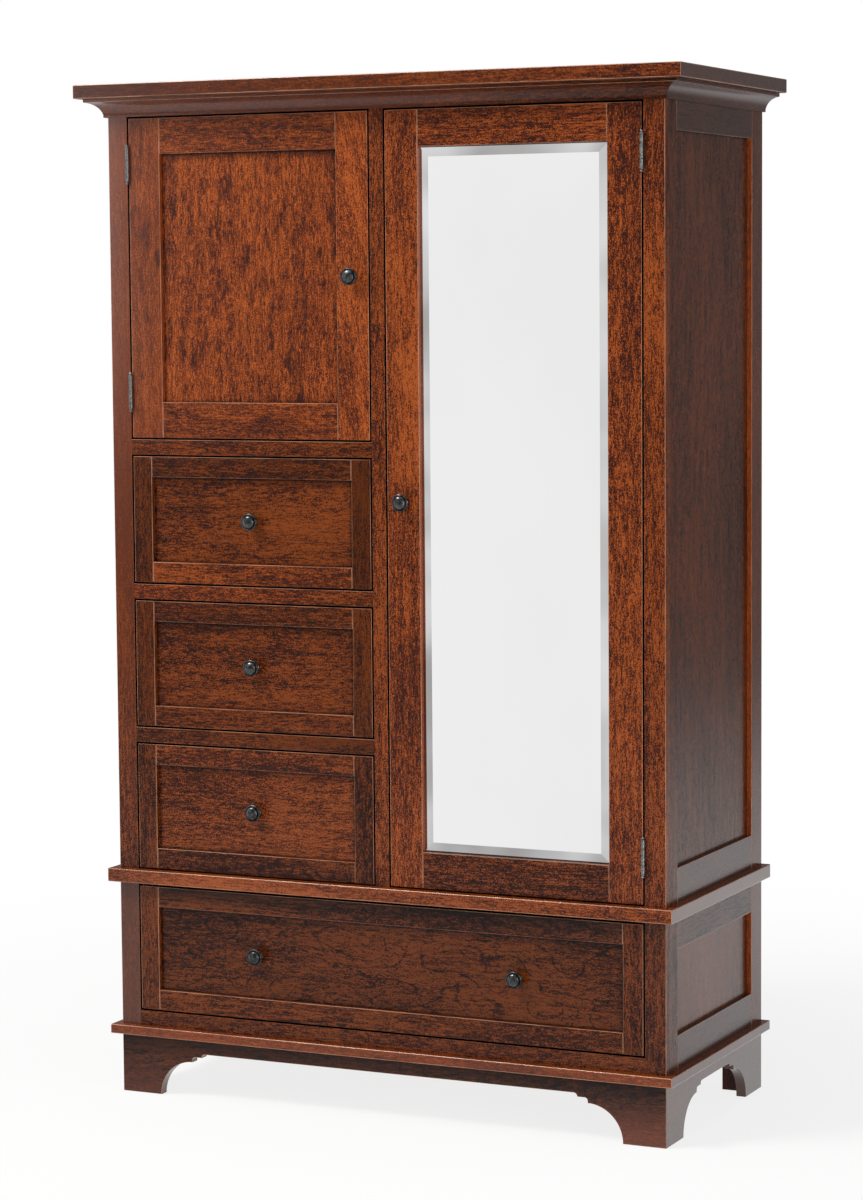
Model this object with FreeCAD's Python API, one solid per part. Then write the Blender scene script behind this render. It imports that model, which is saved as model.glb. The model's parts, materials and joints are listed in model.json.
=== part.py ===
import FreeCAD, Part
import math
import os

# Wardrobe chest in two stacked cases: a door over three drawers on the left, a tall mirror door
# on the right, and one wide drawer below. Millimetres, +Z up, +X to the right, front towards -Y.
# The origin is on the floor, under the middle of the overall box.

# Overall proportions
case_width = 1096.0
case_depth = 497.0
foot_height = 112.0
base_band_thickness = 17.5
base_band_overhang = 16.5
waist_thickness = 25.0
waist_overhang = 17.0
top_thickness = 25.0
top_overhang = 46.5
cupboard_opening_height = 590.7

# Face frames
outer_stile_width = 40.0
centre_stile_width = 28.0
rail_height = 28.5
face_thickness = 20.0
reveal_gap = 2.8
edge_ease = 1.2

# Slab edges
slab_top_round = 3.0
slab_bottom_round = 2.0
top_upper_round = 2.5
top_lower_round = 6.0

# Cornice moulding under the top
cornice_fillet_height = 6.5
cornice_cove_height = 22.5
cornice_flat_height = 4.5
cornice_reach = 33.0
cornice_flat_reach = 6.0
cove_depth = 6.0

# Bracket base
base_board_thickness = 19.0
foot_width = 82.0
foot_depth = 85.0
bracket_radius = 67.0
bracket_step = 3.7
bracket_first_cove = 6.0
bracket_ledge = 14.0
bracket_second_cove = 6.8
base_back_height = 52.0
corner_block_size = 38.0
corner_block_lift = 3.0

# Frame-and-panel work
panel_recess = 9.0
groove_width = 6.0
groove_depth = 8.0
groove_clearance = 0.5
door_stile_width = 64.0
door_rail_height = 66.0
drawer_front_height = 234.0
drawer_member_width = 38.5
wide_drawer_headroom = 6.7
side_thickness = 20.0
side_stile_width = 56.0
upper_side_top_rail = 84.0
upper_side_bottom_rail = 62.0
lower_side_top_rail = 57.5
lower_side_bottom_rail = 60.5

# Mirror
mirror_thickness = 5.0
mirror_bevel_width = 18.5
mirror_bevel_depth = 2.0
mirror_backing_thickness = 3.0
mirror_rabbet = 8.0
mirror_edge_clearance = 1.0

# Case interior
back_thickness = 6.0
back_rabbet = 10.0
back_clearance = 0.5
partition_thickness = 20.0
shelf_thickness = 19.0
shelf_clearance = 1.0
shelf_setback = 12.0
shelf_pin_radius = 2.5
shelf_pin_reach = 8.0
shelf_pin_depth = 10.0
shelf_pin_clearance = 0.1
rod_radius = 16.0
rod_clearance = 0.3
rod_end_clearance = 0.5
socket_flange_radius = 27.0
socket_flange_thickness = 4.0
socket_ring_radius = 20.0
socket_ring_length = 14.0

# Drawer boxes and telescopic slides
drawer_count = 3
box_side_thickness = 12.0
box_lift = 18.0
box_headroom = 31.0
bottom_thickness = 6.0
bottom_lift = 11.0
bottom_groove_depth = 6.0
slide_thickness = 12.7
slide_height = 45.0
slide_sheet = 1.2
slide_running_gap = 0.4
slide_setback = 2.0
slide_rear_space = 21.0
cleat_height = 60.0

# Butt hinges
hinge_length = 60.0
hinge_end_distance = 84.0
end_knuckle_length = 16.0
knuckle_radius = 3.5
knuckle_gap = 0.2
knuckle_standoff = 0.3
hinge_pin_radius = 1.9
hinge_pin_clearance = 0.05
leaf_gap = 0.6
leaf_depth = 17.0
finial_length = 8.0
finial_radius_shares = (0.95, 0.95, 0.55, 0.88, 0.58, 0.0)
finial_length_shares = (0.0, 0.16, 0.26, 0.54, 0.86, 1.0)

# Knobs: the outline as shares of the radius and of the projection
knob_radius = 15.9
knob_projection = 25.0
knob_radius_shares = (0.62, 0.62, 0.36, 0.36, 1.0, 1.0, 0.86, 0.50, 0.0)
knob_projection_shares = (0.0, 0.06, 0.18, 0.42, 0.64, 0.75, 0.88, 0.97, 1.0)
screw_sides = 8
screw_radius = 2.0
screw_clearance = 0.15
screw_engagement = 12.0
screw_head_radius = 4.2
screw_head_height = 2.4

# Magnetic catches, above the knob's height
catch_width = 28.0
catch_depth = 24.0
catch_height = 46.0
catch_rise = 120.0
catch_gap = 0.4
strike_width = 13.0
strike_height = 38.0
strike_thickness = 1.2

# Working values
overrun = 5.0
match_tolerance = 0.001
half_turn = 180.0
quarter_turn = 90.0
full_turn = 360.0

# Heights
lower_case_z = foot_height + base_band_thickness
wide_front_z = lower_case_z + rail_height + reveal_gap
waist_z = wide_front_z + drawer_front_height + wide_drawer_headroom
upper_case_z = waist_z + waist_thickness
drawer_opening_height = drawer_front_height + 2 * reveal_gap
drawer_pitch = drawer_opening_height + rail_height
cupboard_z = upper_case_z + drawer_count * drawer_pitch
opening_top_z = cupboard_z + cupboard_opening_height
cornice_height = cornice_fillet_height + cornice_cove_height + cornice_flat_height
top_z = opening_top_z + cornice_height
overall_height = top_z + top_thickness

# Widths and depths
half_width = case_width / 2
face_y = (top_overhang - case_depth) / 2
back_y = face_y + case_depth
inside_front_y = face_y + face_thickness
inside_back_y = back_y - back_thickness
inner_half = half_width - side_thickness
opening_edge = half_width - outer_stile_width
centre_half = centre_stile_width / 2
partition_left = -centre_half
partition_right = partition_left + partition_thickness

# Doors and drawer fronts
front_left = -opening_edge + reveal_gap
front_width = opening_edge - centre_half - 2 * reveal_gap
mirror_door_left = centre_half + reveal_gap
left_door_z = cupboard_z + reveal_gap
left_door_height = cupboard_opening_height - 2 * reveal_gap
mirror_door_z = upper_case_z + reveal_gap
mirror_door_height = opening_top_z - upper_case_z - 2 * reveal_gap
wide_front_width = 2 * (opening_edge - reveal_gap)
knob_x = centre_half + reveal_gap + door_stile_width / 2
left_knob_z = left_door_z + left_door_height / 2
mirror_knob_z = mirror_door_z + mirror_door_height / 2
drawer_centre_x = front_left + front_width / 2
box_height = drawer_front_height - box_lift - box_headroom
slide_length = case_depth - face_thickness - back_thickness - slide_rear_space
hinge_x = opening_edge - reveal_gap / 2
leaf_thickness = (reveal_gap - leaf_gap) / 2
hinge_y = face_y - knuckle_radius - knuckle_standoff
rod_z = top_z - upper_side_top_rail / 2
shelf_z = (cupboard_z + top_z) / 2

X_AXIS = FreeCAD.Vector(1, 0, 0)
Y_AXIS = FreeCAD.Vector(0, 1, 0)
Z_AXIS = FreeCAD.Vector(0, 0, 1)
ORIGIN = FreeCAD.Vector(0, 0, 0)


def box(x0, x1, y0, y1, z0, z1):
    return Part.makeBox(x1 - x0, y1 - y0, z1 - z0, FreeCAD.Vector(x0, y0, z0))


def moved(shape, x, y, z):
    copy = shape.copy()
    copy.translate(FreeCAD.Vector(x, y, z))
    return copy


def mirrored(shape):
    return shape.mirror(ORIGIN, X_AXIS)


def on_xz(x, z):
    return FreeCAD.Vector(x, 0, z)


def on_yz(y, z):
    return FreeCAD.Vector(0, y, z)


def around(centre, radius, angle):
    turn = math.radians(angle)
    return (centre[0] + radius * math.cos(turn), centre[1] + radius * math.sin(turn))


# A closed face: each step is an end point, or a middle and an end point for an arc
def outline(plane, start, steps):
    edges = []
    here = plane(*start)
    for step in steps:
        there = plane(*step[-1])
        if len(step) == 1:
            edges.append(Part.makeLine(here, there))
        else:
            edges.append(Part.Arc(here, plane(*step[0]), there).toShape())
        here = there
    edges.append(Part.makeLine(here, plane(*start)))
    return Part.Face(Part.Wire(edges))


# The steps of a quarter circle between two angles
def quarter(centre, radius, first, last):
    middle = (first + last) / 2
    return (around(centre, radius, middle), around(centre, radius, last))


def turned(radii, heights):
    points = [FreeCAD.Vector(0, 0, heights[0])]
    for radius, height in zip(radii, heights):
        points.append(FreeCAD.Vector(radius, 0, height))
    points.append(points[0])
    face = Part.Face(Part.makePolygon(points))
    return face.revolve(ORIGIN, Z_AXIS, full_turn)


# Chamfers the edges on the front face, apart from those along a joint that stays flush
def ease_front(shape, sharp_u=(), sharp_w=()):
    edges = []
    for edge in shape.Edges:
        bounds = edge.BoundBox
        if max(abs(bounds.YMin), abs(bounds.YMax)) > match_tolerance:
            continue
        along_u = bounds.XLength < match_tolerance
        flush_u = any(abs(bounds.XMin - u) < match_tolerance for u in sharp_u)
        flush_w = any(abs(bounds.ZMin - w) < match_tolerance for w in sharp_w)
        if (along_u and flush_u) or (not along_u and flush_w):
            continue
        edges.append(edge)
    return shape.makeChamfer(edge_ease, edges)


# Slab with a rounded nosing on the front and both ends, and a flush back
def nosed_slab(half_length, front_y, z0, z1, upper_round, lower_round):
    front = outline(on_yz, (back_y, z0), (
        ((front_y + lower_round, z0),),
        quarter((front_y + lower_round, z0 + lower_round), lower_round, 3 * quarter_turn, half_turn),
        ((front_y, z1 - upper_round),),
        quarter((front_y + upper_round, z1 - upper_round), upper_round, half_turn, quarter_turn),
        ((back_y, z1),),
    ))
    ends = outline(on_xz, (half_length - lower_round, z0), (
        quarter((half_length - lower_round, z0 + lower_round), lower_round, -quarter_turn, 0),
        ((half_length, z1 - upper_round),),
        quarter((half_length - upper_round, z1 - upper_round), upper_round, 0, quarter_turn),
        ((upper_round - half_length, z1),),
        quarter((upper_round - half_length, z1 - upper_round), upper_round, quarter_turn, half_turn),
        ((-half_length, z0 + lower_round),),
        quarter((lower_round - half_length, z0 + lower_round), lower_round, half_turn, 3 * quarter_turn),
    ))
    along = moved(front, -half_length, 0, 0).extrude(X_AXIS * (2 * half_length))
    across = moved(ends, 0, front_y, 0).extrude(Y_AXIS * (back_y - front_y))
    return along.common(across)


# Frame-and-panel work is made in its own plane: x across, y in from the front face, z up
def grooved_stile(u0, u1, inner_edge, height, thickness):
    stile = box(u0, u1, 0, thickness, 0, height)
    groove = box(inner_edge - groove_depth, inner_edge + groove_depth,
                 panel_recess, panel_recess + groove_width, -overrun, height + overrun)
    return stile.cut(groove)


def tenoned_rail(u0, u1, w0, w1, inner_edge, thickness):
    tenon = groove_depth - groove_clearance
    rail = box(u0, u1, 0, thickness, w0, w1)
    ends = box(u0 - tenon, u1 + tenon, panel_recess, panel_recess + groove_width, w0, w1)
    groove = box(u0 - tenon - overrun, u1 + tenon + overrun, panel_recess, panel_recess + groove_width,
                 inner_edge - groove_depth, inner_edge + groove_depth)
    return rail.fuse(ends).cut(groove).removeSplitter()


def tongued_panel(u0, u1, w0, w1, panel_back):
    tongue = groove_depth - groove_clearance
    panel = box(u0 - tongue, u1 + tongue, panel_recess, panel_recess + groove_width,
                w0 - tongue, w1 + tongue)
    if panel_back > panel_recess + groove_width:
        panel = panel.fuse(box(u0, u1, panel_recess, panel_back, w0, w1)).removeSplitter()
    return panel


# The four members of a grooved frame; flush names the outer edges that stay sharp
def grooved_frame(width, height, thickness, left, right, bottom, top, flush):
    flush_u = (0, width) if flush else ()
    flush_w = (0, height) if flush else ()
    stiles = (
        grooved_stile(0, left, left, height, thickness),
        grooved_stile(width - right, width, width - right, height, thickness),
    )
    rails = (
        tenoned_rail(left, width - right, 0, bottom, bottom, thickness),
        tenoned_rail(left, width - right, height - top, height, height - top, thickness),
    )
    return [ease_front(member, flush_u, flush_w) for member in stiles + rails]


# Mirror door frame: rabbeted from behind, with rails lapped into the stiles
def rabbeted_frame(width, height):
    lap = mirror_rabbet
    opening_right = width - door_stile_width
    opening_top = height - door_rail_height
    void = box(door_stile_width - lap, opening_right + lap, panel_recess, face_thickness + overrun,
               door_rail_height - lap, opening_top + lap)
    ends = box(door_stile_width - lap, opening_right + lap, panel_recess, face_thickness,
               0, height)
    members = []
    for u0, u1 in ((0, door_stile_width), (opening_right, width)):
        stile = box(u0, u1, 0, face_thickness, 0, height).cut(ends)
        members.append(ease_front(stile))
    for w0, w1 in ((0, door_rail_height), (opening_top, height)):
        rail = box(door_stile_width, opening_right, 0, face_thickness, w0, w1)
        lapped = box(door_stile_width - lap, opening_right + lap, panel_recess, face_thickness, w0, w1)
        rail = rail.fuse(lapped).cut(void).removeSplitter()
        members.append(ease_front(rail))
    return members


# Bevelled mirror plate that bears on the frame's lip, its backing board and the stops behind them
def mirror_plate(width, height):
    edge = mirror_rabbet - mirror_edge_clearance
    u0 = door_stile_width - edge
    u1 = width - door_stile_width + edge
    w0 = door_rail_height - edge
    w1 = height - door_rail_height + edge
    bevel = edge + mirror_bevel_width
    shoulder = panel_recess + mirror_bevel_depth * edge / bevel
    front = shoulder - mirror_bevel_depth
    back = front + mirror_thickness
    rim = Part.makePolygon([
        FreeCAD.Vector(u0, shoulder, w0), FreeCAD.Vector(u1, shoulder, w0),
        FreeCAD.Vector(u1, shoulder, w1), FreeCAD.Vector(u0, shoulder, w1),
        FreeCAD.Vector(u0, shoulder, w0)])
    flat = Part.makePolygon([
        FreeCAD.Vector(u0 + bevel, front, w0 + bevel), FreeCAD.Vector(u1 - bevel, front, w0 + bevel),
        FreeCAD.Vector(u1 - bevel, front, w1 - bevel), FreeCAD.Vector(u0 + bevel, front, w1 - bevel),
        FreeCAD.Vector(u0 + bevel, front, w0 + bevel)])
    slab = box(u0, u1, shoulder, back, w0, w1)
    plate = slab.fuse(Part.makeLoft([rim, flat], True, True)).removeSplitter()
    stop_y = back + mirror_backing_thickness
    backing = box(u0, u1, back, stop_y, w0, w1)
    left = door_stile_width - mirror_rabbet
    bottom = door_rail_height - mirror_rabbet
    stops = []
    for u in (left, width - door_stile_width):
        stops.append(box(u, u + mirror_rabbet, stop_y, face_thickness, bottom, height - bottom))
    for w in (bottom, height - door_rail_height):
        stops.append(box(door_stile_width, width - door_stile_width, stop_y, face_thickness,
                         w, w + mirror_rabbet))
    return plate, backing, stops


def side_frames(z0, height, bottom, top):
    width = case_depth - face_thickness
    front_stile = side_stile_width - face_thickness
    members = grooved_frame(width, height, side_thickness, front_stile, side_stile_width,
                            bottom, top, True)
    rebate = box(width - back_thickness, width + overrun, side_thickness - back_rabbet,
                 side_thickness + overrun, -overrun, height + overrun)
    members[1] = members[1].cut(rebate)
    panel = tongued_panel(front_stile, width - side_stile_width, bottom, height - top, 0)
    placed = []
    for piece in members + [panel]:
        turned_piece = piece.copy()
        turned_piece.rotate(ORIGIN, Z_AXIS, quarter_turn)
        placed.append(moved(turned_piece, half_width, inside_front_y, z0))
    frames = placed[:-1]
    return frames, placed[-1]


def drill_shelf_holes(frames):
    holes = Part.makeCompound([pin_at(-inner_half, y, shelf_pin_clearance) for y in shelf_pin_rows()])
    return [frame.cut(holes) for frame in frames]


def shelf_pin_rows():
    front_stile_middle = (inside_front_y + face_y + side_stile_width) / 2
    rear_stile_middle = (inside_back_y + back_y - side_stile_width) / 2
    return (front_stile_middle, rear_stile_middle)


def pin_at(wall_x, y, growth):
    toward = 1 if wall_x < partition_left else -1
    start = FreeCAD.Vector(wall_x - toward * shelf_pin_depth, y, shelf_z)
    return Part.makeCylinder(shelf_pin_radius + growth, shelf_pin_depth + shelf_pin_reach,
                             start, X_AXIS * toward)


def upper_face_frame():
    members = []
    outer = box(-half_width, -opening_edge, 0, face_thickness, upper_case_z, top_z)
    outer = ease_front(outer, (-half_width,), (upper_case_z, top_z))
    members += [outer, mirrored(outer)]
    centre = box(-centre_half, centre_half, 0, face_thickness, upper_case_z, opening_top_z)
    members.append(ease_front(centre, (), (upper_case_z, opening_top_z)))
    head = box(-opening_edge, opening_edge, 0, face_thickness, opening_top_z, top_z)
    members.append(head)
    for index in range(drawer_count):
        z0 = upper_case_z + drawer_opening_height + index * drawer_pitch
        rail = box(-opening_edge, -centre_half, 0, face_thickness, z0, z0 + rail_height)
        members.append(ease_front(rail, (-opening_edge, -centre_half)))
    return [moved(member, 0, face_y, 0) for member in members]


def lower_face_frame():
    outer = box(-half_width, -opening_edge, 0, face_thickness, lower_case_z, waist_z)
    outer = ease_front(outer, (-half_width,), (lower_case_z, waist_z))
    rail = box(-opening_edge, opening_edge, 0, face_thickness, lower_case_z, lower_case_z + rail_height)
    rail = ease_front(rail, (-opening_edge, opening_edge), (lower_case_z,))
    return [moved(member, 0, face_y, 0) for member in (outer, mirrored(outer), rail)]


# Cornice profile, out from the case and up; swept along the front and both sides with mitres
def cornice_mouldings():
    cove_low = opening_top_z + cornice_flat_height
    cove_high = cove_low + cornice_cove_height
    run = cornice_reach - cornice_flat_reach
    slope = math.hypot(run, cornice_cove_height)
    cove_middle = ((cornice_reach + cornice_flat_reach) / 2 - cove_depth * cornice_cove_height / slope,
                   (cove_low + cove_high) / 2 + cove_depth * run / slope)

    def profile(plane):
        return outline(plane, (0, opening_top_z), (
            ((cornice_flat_reach, opening_top_z),),
            ((cornice_flat_reach, cove_low),),
            (cove_middle, (cornice_reach, cove_high)),
            ((cornice_reach, top_z),),
            ((0, top_z),),
        ))

    reach = cornice_reach + overrun
    front = profile(lambda out, z: FreeCAD.Vector(-half_width - reach, face_y - out, z))
    front = front.extrude(X_AXIS * (2 * (half_width + reach)))
    side = profile(lambda out, z: FreeCAD.Vector(half_width + out, face_y - reach, z))
    side = side.extrude(Y_AXIS * (case_depth + reach))
    front_plan = Part.makePolygon([
        FreeCAD.Vector(-half_width, face_y, opening_top_z),
        FreeCAD.Vector(half_width, face_y, opening_top_z),
        FreeCAD.Vector(half_width + reach, face_y - reach, opening_top_z),
        FreeCAD.Vector(-half_width - reach, face_y - reach, opening_top_z),
        FreeCAD.Vector(-half_width, face_y, opening_top_z)])
    front_mitre = Part.Face(front_plan).extrude(Z_AXIS * cornice_height)
    right = side.cut(front_mitre)
    return [front.common(front_mitre), right, mirrored(right)]


# Board with a bracket foot at each end: a wide arc, then two small coved steps to the apron
def bracket_board(plane, u0, u1, first_foot, last_foot):
    low_step = bracket_radius + bracket_step
    ledge_z = low_step + bracket_first_cove
    apron_z = ledge_z + bracket_second_cove
    reaches = (0, bracket_radius, bracket_radius + bracket_first_cove,
               bracket_radius + bracket_first_cove + bracket_ledge)
    left = [u0 + first_foot + reach for reach in reaches]
    right = [u1 - last_foot - reach for reach in reaches]
    return outline(plane, (u0, 0), (
        ((u0, foot_height),),
        ((u1, foot_height),),
        ((u1, 0),),
        ((right[0], 0),),
        quarter((right[1], 0), bracket_radius, 0, quarter_turn),
        ((right[1], low_step),),
        quarter((right[2], low_step), bracket_first_cove, 0, quarter_turn),
        ((right[3], ledge_z),),
        quarter((right[3] - bracket_second_cove, ledge_z), bracket_second_cove, 0, quarter_turn),
        ((left[3] + bracket_second_cove, apron_z),),
        quarter((left[3] + bracket_second_cove, ledge_z), bracket_second_cove, quarter_turn, half_turn),
        ((left[2], ledge_z),),
        quarter((left[2], low_step), bracket_first_cove, quarter_turn, half_turn),
        ((left[1], bracket_radius),),
        quarter((left[1], 0), bracket_radius, quarter_turn, half_turn),
    ))


def base_front():
    face = bracket_board(on_xz, -half_width, half_width, foot_width, foot_width)
    return moved(face, 0, face_y, 0).extrude(Y_AXIS * base_board_thickness)


def base_sides():
    start = face_y + base_board_thickness
    face = bracket_board(on_yz, start, back_y, foot_depth - base_board_thickness, foot_depth)
    right = moved(face, half_width - base_board_thickness, 0, 0).extrude(X_AXIS * base_board_thickness)
    return [right, mirrored(right)]


def base_inner():
    inner = half_width - base_board_thickness
    back = box(-inner, inner, back_y - base_board_thickness, back_y,
               foot_height - base_back_height, foot_height)
    blocks = []
    front_y = face_y + base_board_thickness
    rear_y = back_y - base_board_thickness - corner_block_size
    for y in (front_y, rear_y):
        block = box(inner - corner_block_size, inner, y, y + corner_block_size,
                    corner_block_lift, foot_height)
        blocks += [block, mirrored(block)]
    return back, blocks


# Case interior
def partition():
    board = box(partition_left, partition_right, inside_front_y, inside_back_y, upper_case_z, top_z)
    holes = Part.makeCompound([pin_at(partition_left, y, shelf_pin_clearance) for y in shelf_pin_rows()])
    return board.cut(holes)


def back_panel(z0, z1):
    half = inner_half + back_rabbet - back_clearance
    return box(-half, half, inside_back_y, back_y, z0, z1)


def cupboard_floor():
    return box(-inner_half, partition_left, inside_front_y, inside_back_y,
               cupboard_z - shelf_thickness, cupboard_z)


def adjustable_shelf():
    z0 = shelf_z + shelf_pin_radius + shelf_pin_clearance
    return box(shelf_clearance - inner_half, partition_left - shelf_clearance,
               inside_front_y + shelf_setback, inside_back_y - shelf_clearance, z0, z0 + shelf_thickness)


def shelf_pins():
    pins = []
    for y in shelf_pin_rows():
        pins += [pin_at(-inner_half, y, 0), pin_at(partition_left, y, 0)]
    return pins


def rod_socket(wall_x, toward):
    y = (inside_front_y + inside_back_y) / 2
    start = FreeCAD.Vector(wall_x, y, rod_z)
    mouth = FreeCAD.Vector(wall_x + toward * socket_flange_thickness, y, rod_z)
    axis = X_AXIS * toward
    flange = Part.makeCylinder(socket_flange_radius, socket_flange_thickness, start, axis)
    ring = Part.makeCylinder(socket_ring_radius, socket_ring_length, mouth, axis)
    bore = Part.makeCylinder(rod_radius + rod_clearance, socket_ring_length + overrun, mouth, axis)
    return flange.fuse(ring).cut(bore).removeSplitter()


def clothes_rod():
    x0 = partition_right + socket_flange_thickness + rod_end_clearance
    x1 = inner_half - socket_flange_thickness - rod_end_clearance
    y = (inside_front_y + inside_back_y) / 2
    return Part.makeCylinder(rod_radius, x1 - x0, FreeCAD.Vector(x0, y, rod_z), X_AXIS)


# Telescopic slide sections: x in from the mounting wall, z from the slide's middle
def slide_section(wall, tip, outer_height):
    half = outer_height / 2
    web = wall + slide_sheet if tip > wall else wall - slide_sheet
    inner = half - slide_sheet
    points = [(wall, -half), (tip, -half), (tip, -inner), (web, -inner),
              (web, inner), (tip, inner), (tip, half), (wall, half), (wall, -half)]
    return Part.Face(Part.makePolygon([on_xz(x, z) for x, z in points]))


def slide_members(wall_x, toward, middle_z):
    step = slide_sheet + slide_running_gap
    sections = (
        slide_section(0, slide_thickness - 2 * step, slide_height),
        slide_section(step, slide_thickness - step, slide_height - 2 * step),
        slide_section(slide_thickness, 2 * step, slide_height - 4 * step),
    )
    members = []
    for section in sections:
        member = section.extrude(Y_AXIS * slide_length)
        if toward < 0:
            member = mirrored(member)
        members.append(moved(member, wall_x, inside_front_y + slide_setback, middle_z))
    return members


def slide_cleat(middle_z):
    return box(-inner_half, -opening_edge, inside_front_y, inside_back_y,
               middle_z - cleat_height / 2, middle_z + cleat_height / 2)


# Drawer box of grooved sides, front, back and a bottom board
def drawer_box(x0, x1, front_z):
    y0 = inside_front_y
    y1 = y0 + slide_length
    z0 = front_z + box_lift
    z1 = z0 + box_height
    inner0 = x0 + box_side_thickness
    inner1 = x1 - box_side_thickness
    floor0 = z0 + bottom_lift
    floor1 = floor0 + bottom_thickness
    groove = box(inner0 - bottom_groove_depth, inner1 + bottom_groove_depth,
                 y0 + box_side_thickness - bottom_groove_depth, y1 + overrun, floor0, floor1)
    left = box(x0, inner0, y0, y1, z0, z1).cut(groove)
    right = box(inner1, x1, y0, y1, z0, z1).cut(groove)
    front = box(inner0, inner1, y0, y0 + box_side_thickness, z0, z1).cut(groove)
    back = box(inner0, inner1, y1 - box_side_thickness, y1, floor1, z1)
    bottom = box(inner0 - bottom_groove_depth + groove_clearance,
                 inner1 + bottom_groove_depth - groove_clearance,
                 y0 + box_side_thickness - bottom_groove_depth + groove_clearance, y1, floor0, floor1)
    return [left, right, front, back, bottom]


def screw_hole(x, z, first_y, last_y):
    return Part.makeCylinder(screw_radius + screw_clearance, last_y - first_y + 2 * overrun,
                             FreeCAD.Vector(x, first_y - overrun, z), Y_AXIS)


# Eight-sided rod along y: the screws are out of sight, so they stay plain
def screw_rod(radius, x, z, y0, y1):
    corners = []
    for i in range(screw_sides + 1):
        corners.append(on_xz(*around((x, z), radius, full_turn * i / screw_sides)))
    rod = Part.Face(Part.makePolygon(corners)).extrude(Y_AXIS * (y1 - y0))
    return moved(rod, 0, y0, 0)


# Turned knob on its seat, with the screw that holds it from behind
def knob(x, z, seat_y, screw_back_y):
    radii = [knob_radius * share for share in knob_radius_shares]
    heights = [knob_projection * share for share in knob_projection_shares]
    head = turned(radii, heights)
    head.rotate(ORIGIN, X_AXIS, quarter_turn)
    head = moved(head, x, seat_y, z)
    tip_y = seat_y - screw_engagement
    socket = screw_rod(screw_radius + screw_clearance, x, z, tip_y, seat_y)
    shank = screw_rod(screw_radius, x, z, tip_y, screw_back_y)
    cap = screw_rod(screw_head_radius, x, z, screw_back_y, screw_back_y + screw_head_height)
    return [head.cut(socket), shank.fuse(cap).removeSplitter()]


# Hinge pieces for the left side, with the pin's axis along z from 0
def hinge_leaf(plate_x, knuckles):
    standoff = knuckle_radius + knuckle_standoff
    leaf = box(plate_x, plate_x + leaf_thickness, standoff, standoff + leaf_depth, 0, hinge_length)
    for z0, z1 in knuckles:
        barrel = Part.makeCylinder(knuckle_radius, z1 - z0, FreeCAD.Vector(0, 0, z0), Z_AXIS)
        tab = box(plate_x, plate_x + leaf_thickness, 0, standoff, z0, z1)
        leaf = leaf.fuse(barrel).fuse(tab)
    bore = Part.makeCylinder(hinge_pin_radius + hinge_pin_clearance, hinge_length + 2 * overrun,
                             FreeCAD.Vector(0, 0, -overrun), Z_AXIS)
    return leaf.cut(bore).removeSplitter()


def case_leaf():
    far = hinge_length - end_knuckle_length
    return hinge_leaf(-reveal_gap / 2, ((0, end_knuckle_length), (far, hinge_length)))


def door_leaf():
    near = end_knuckle_length + knuckle_gap
    return hinge_leaf(reveal_gap / 2 - leaf_thickness, ((near, hinge_length - near),))


def hinge_pin():
    radii = []
    heights = []
    for radius, length in zip(reversed(finial_radius_shares), reversed(finial_length_shares)):
        radii.append(radius * knuckle_radius)
        heights.append(-length * finial_length)
    radii += [hinge_pin_radius, hinge_pin_radius]
    heights += [0, hinge_length]
    for radius, length in zip(finial_radius_shares, finial_length_shares):
        radii.append(radius * knuckle_radius)
        heights.append(hinge_length + length * finial_length)
    return turned(radii, heights)


def hinge_heights(door_z, door_height):
    first = door_z + hinge_end_distance - hinge_length / 2
    last = door_z + door_height - hinge_end_distance - hinge_length / 2
    return (first, last)


def hinge_set(piece, heights, right):
    placed = []
    for z in heights:
        copy = moved(piece, -hinge_x, hinge_y, z)
        placed.append(mirrored(copy) if right else copy)
    return placed


# Magnetic catch on the partition, and its strike plate on the back of the door
def catch_and_strike(wall_x, toward, door_edge_x, knob_z):
    z = knob_z + catch_rise
    front_y = inside_front_y + strike_thickness + catch_gap
    x0, x1 = sorted((wall_x, wall_x + toward * catch_width))
    catch = box(x0, x1, front_y, front_y + catch_depth, z - catch_height / 2, z + catch_height / 2)
    strike0, strike1 = sorted((door_edge_x, door_edge_x + toward * strike_width))
    strike = box(strike0, strike1, inside_front_y, inside_front_y + strike_thickness,
                 z - strike_height / 2, z + strike_height / 2)
    return catch, strike


def drawer_front(x, width, z, knob_places):
    members = grooved_frame(width, drawer_front_height, face_thickness, drawer_member_width,
                            drawer_member_width, drawer_member_width, drawer_member_width, False)
    panel = tongued_panel(drawer_member_width, width - drawer_member_width, drawer_member_width,
                          drawer_front_height - drawer_member_width, face_thickness)
    pieces = [moved(piece, x, face_y, z) for piece in members + [panel]]
    for knob_place in knob_places:
        hole = screw_hole(knob_place, z + drawer_front_height / 2, face_y, inside_front_y)
        pieces[-1] = pieces[-1].cut(hole)
    return pieces


# All the pieces of one drawer between two slide walls, saved under its own name
def save_drawer(name, left_wall, right_wall, front_x, width, front_z, knob_places):
    middle_z = front_z + drawer_front_height / 2
    box_back_y = inside_front_y + box_side_thickness
    save(name + "_front", drawer_front(front_x, width, front_z, knob_places))
    pieces = drawer_box(left_wall + slide_thickness, right_wall - slide_thickness, front_z)
    knobs = []
    for x in knob_places:
        pieces[2] = pieces[2].cut(screw_hole(x, middle_z, inside_front_y, box_back_y))
        knobs += knob(x, middle_z, face_y + panel_recess, box_back_y)
    save(name + "_box", pieces)
    save(name + ("_knob" if len(knob_places) == 1 else "_knobs"), knobs)
    left = slide_members(left_wall, 1, middle_z)
    right = slide_members(right_wall, -1, middle_z)
    save(name + "_slide_middles", [left[1], right[1]])
    save(name + "_runners", [left[2], right[2]])
    return [left[0], right[0]]


def save(name, pieces):
    shape = pieces[0] if len(pieces) == 1 else Part.makeCompound(pieces)
    shape.exportStep("parts/" + name + ".step")


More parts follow.
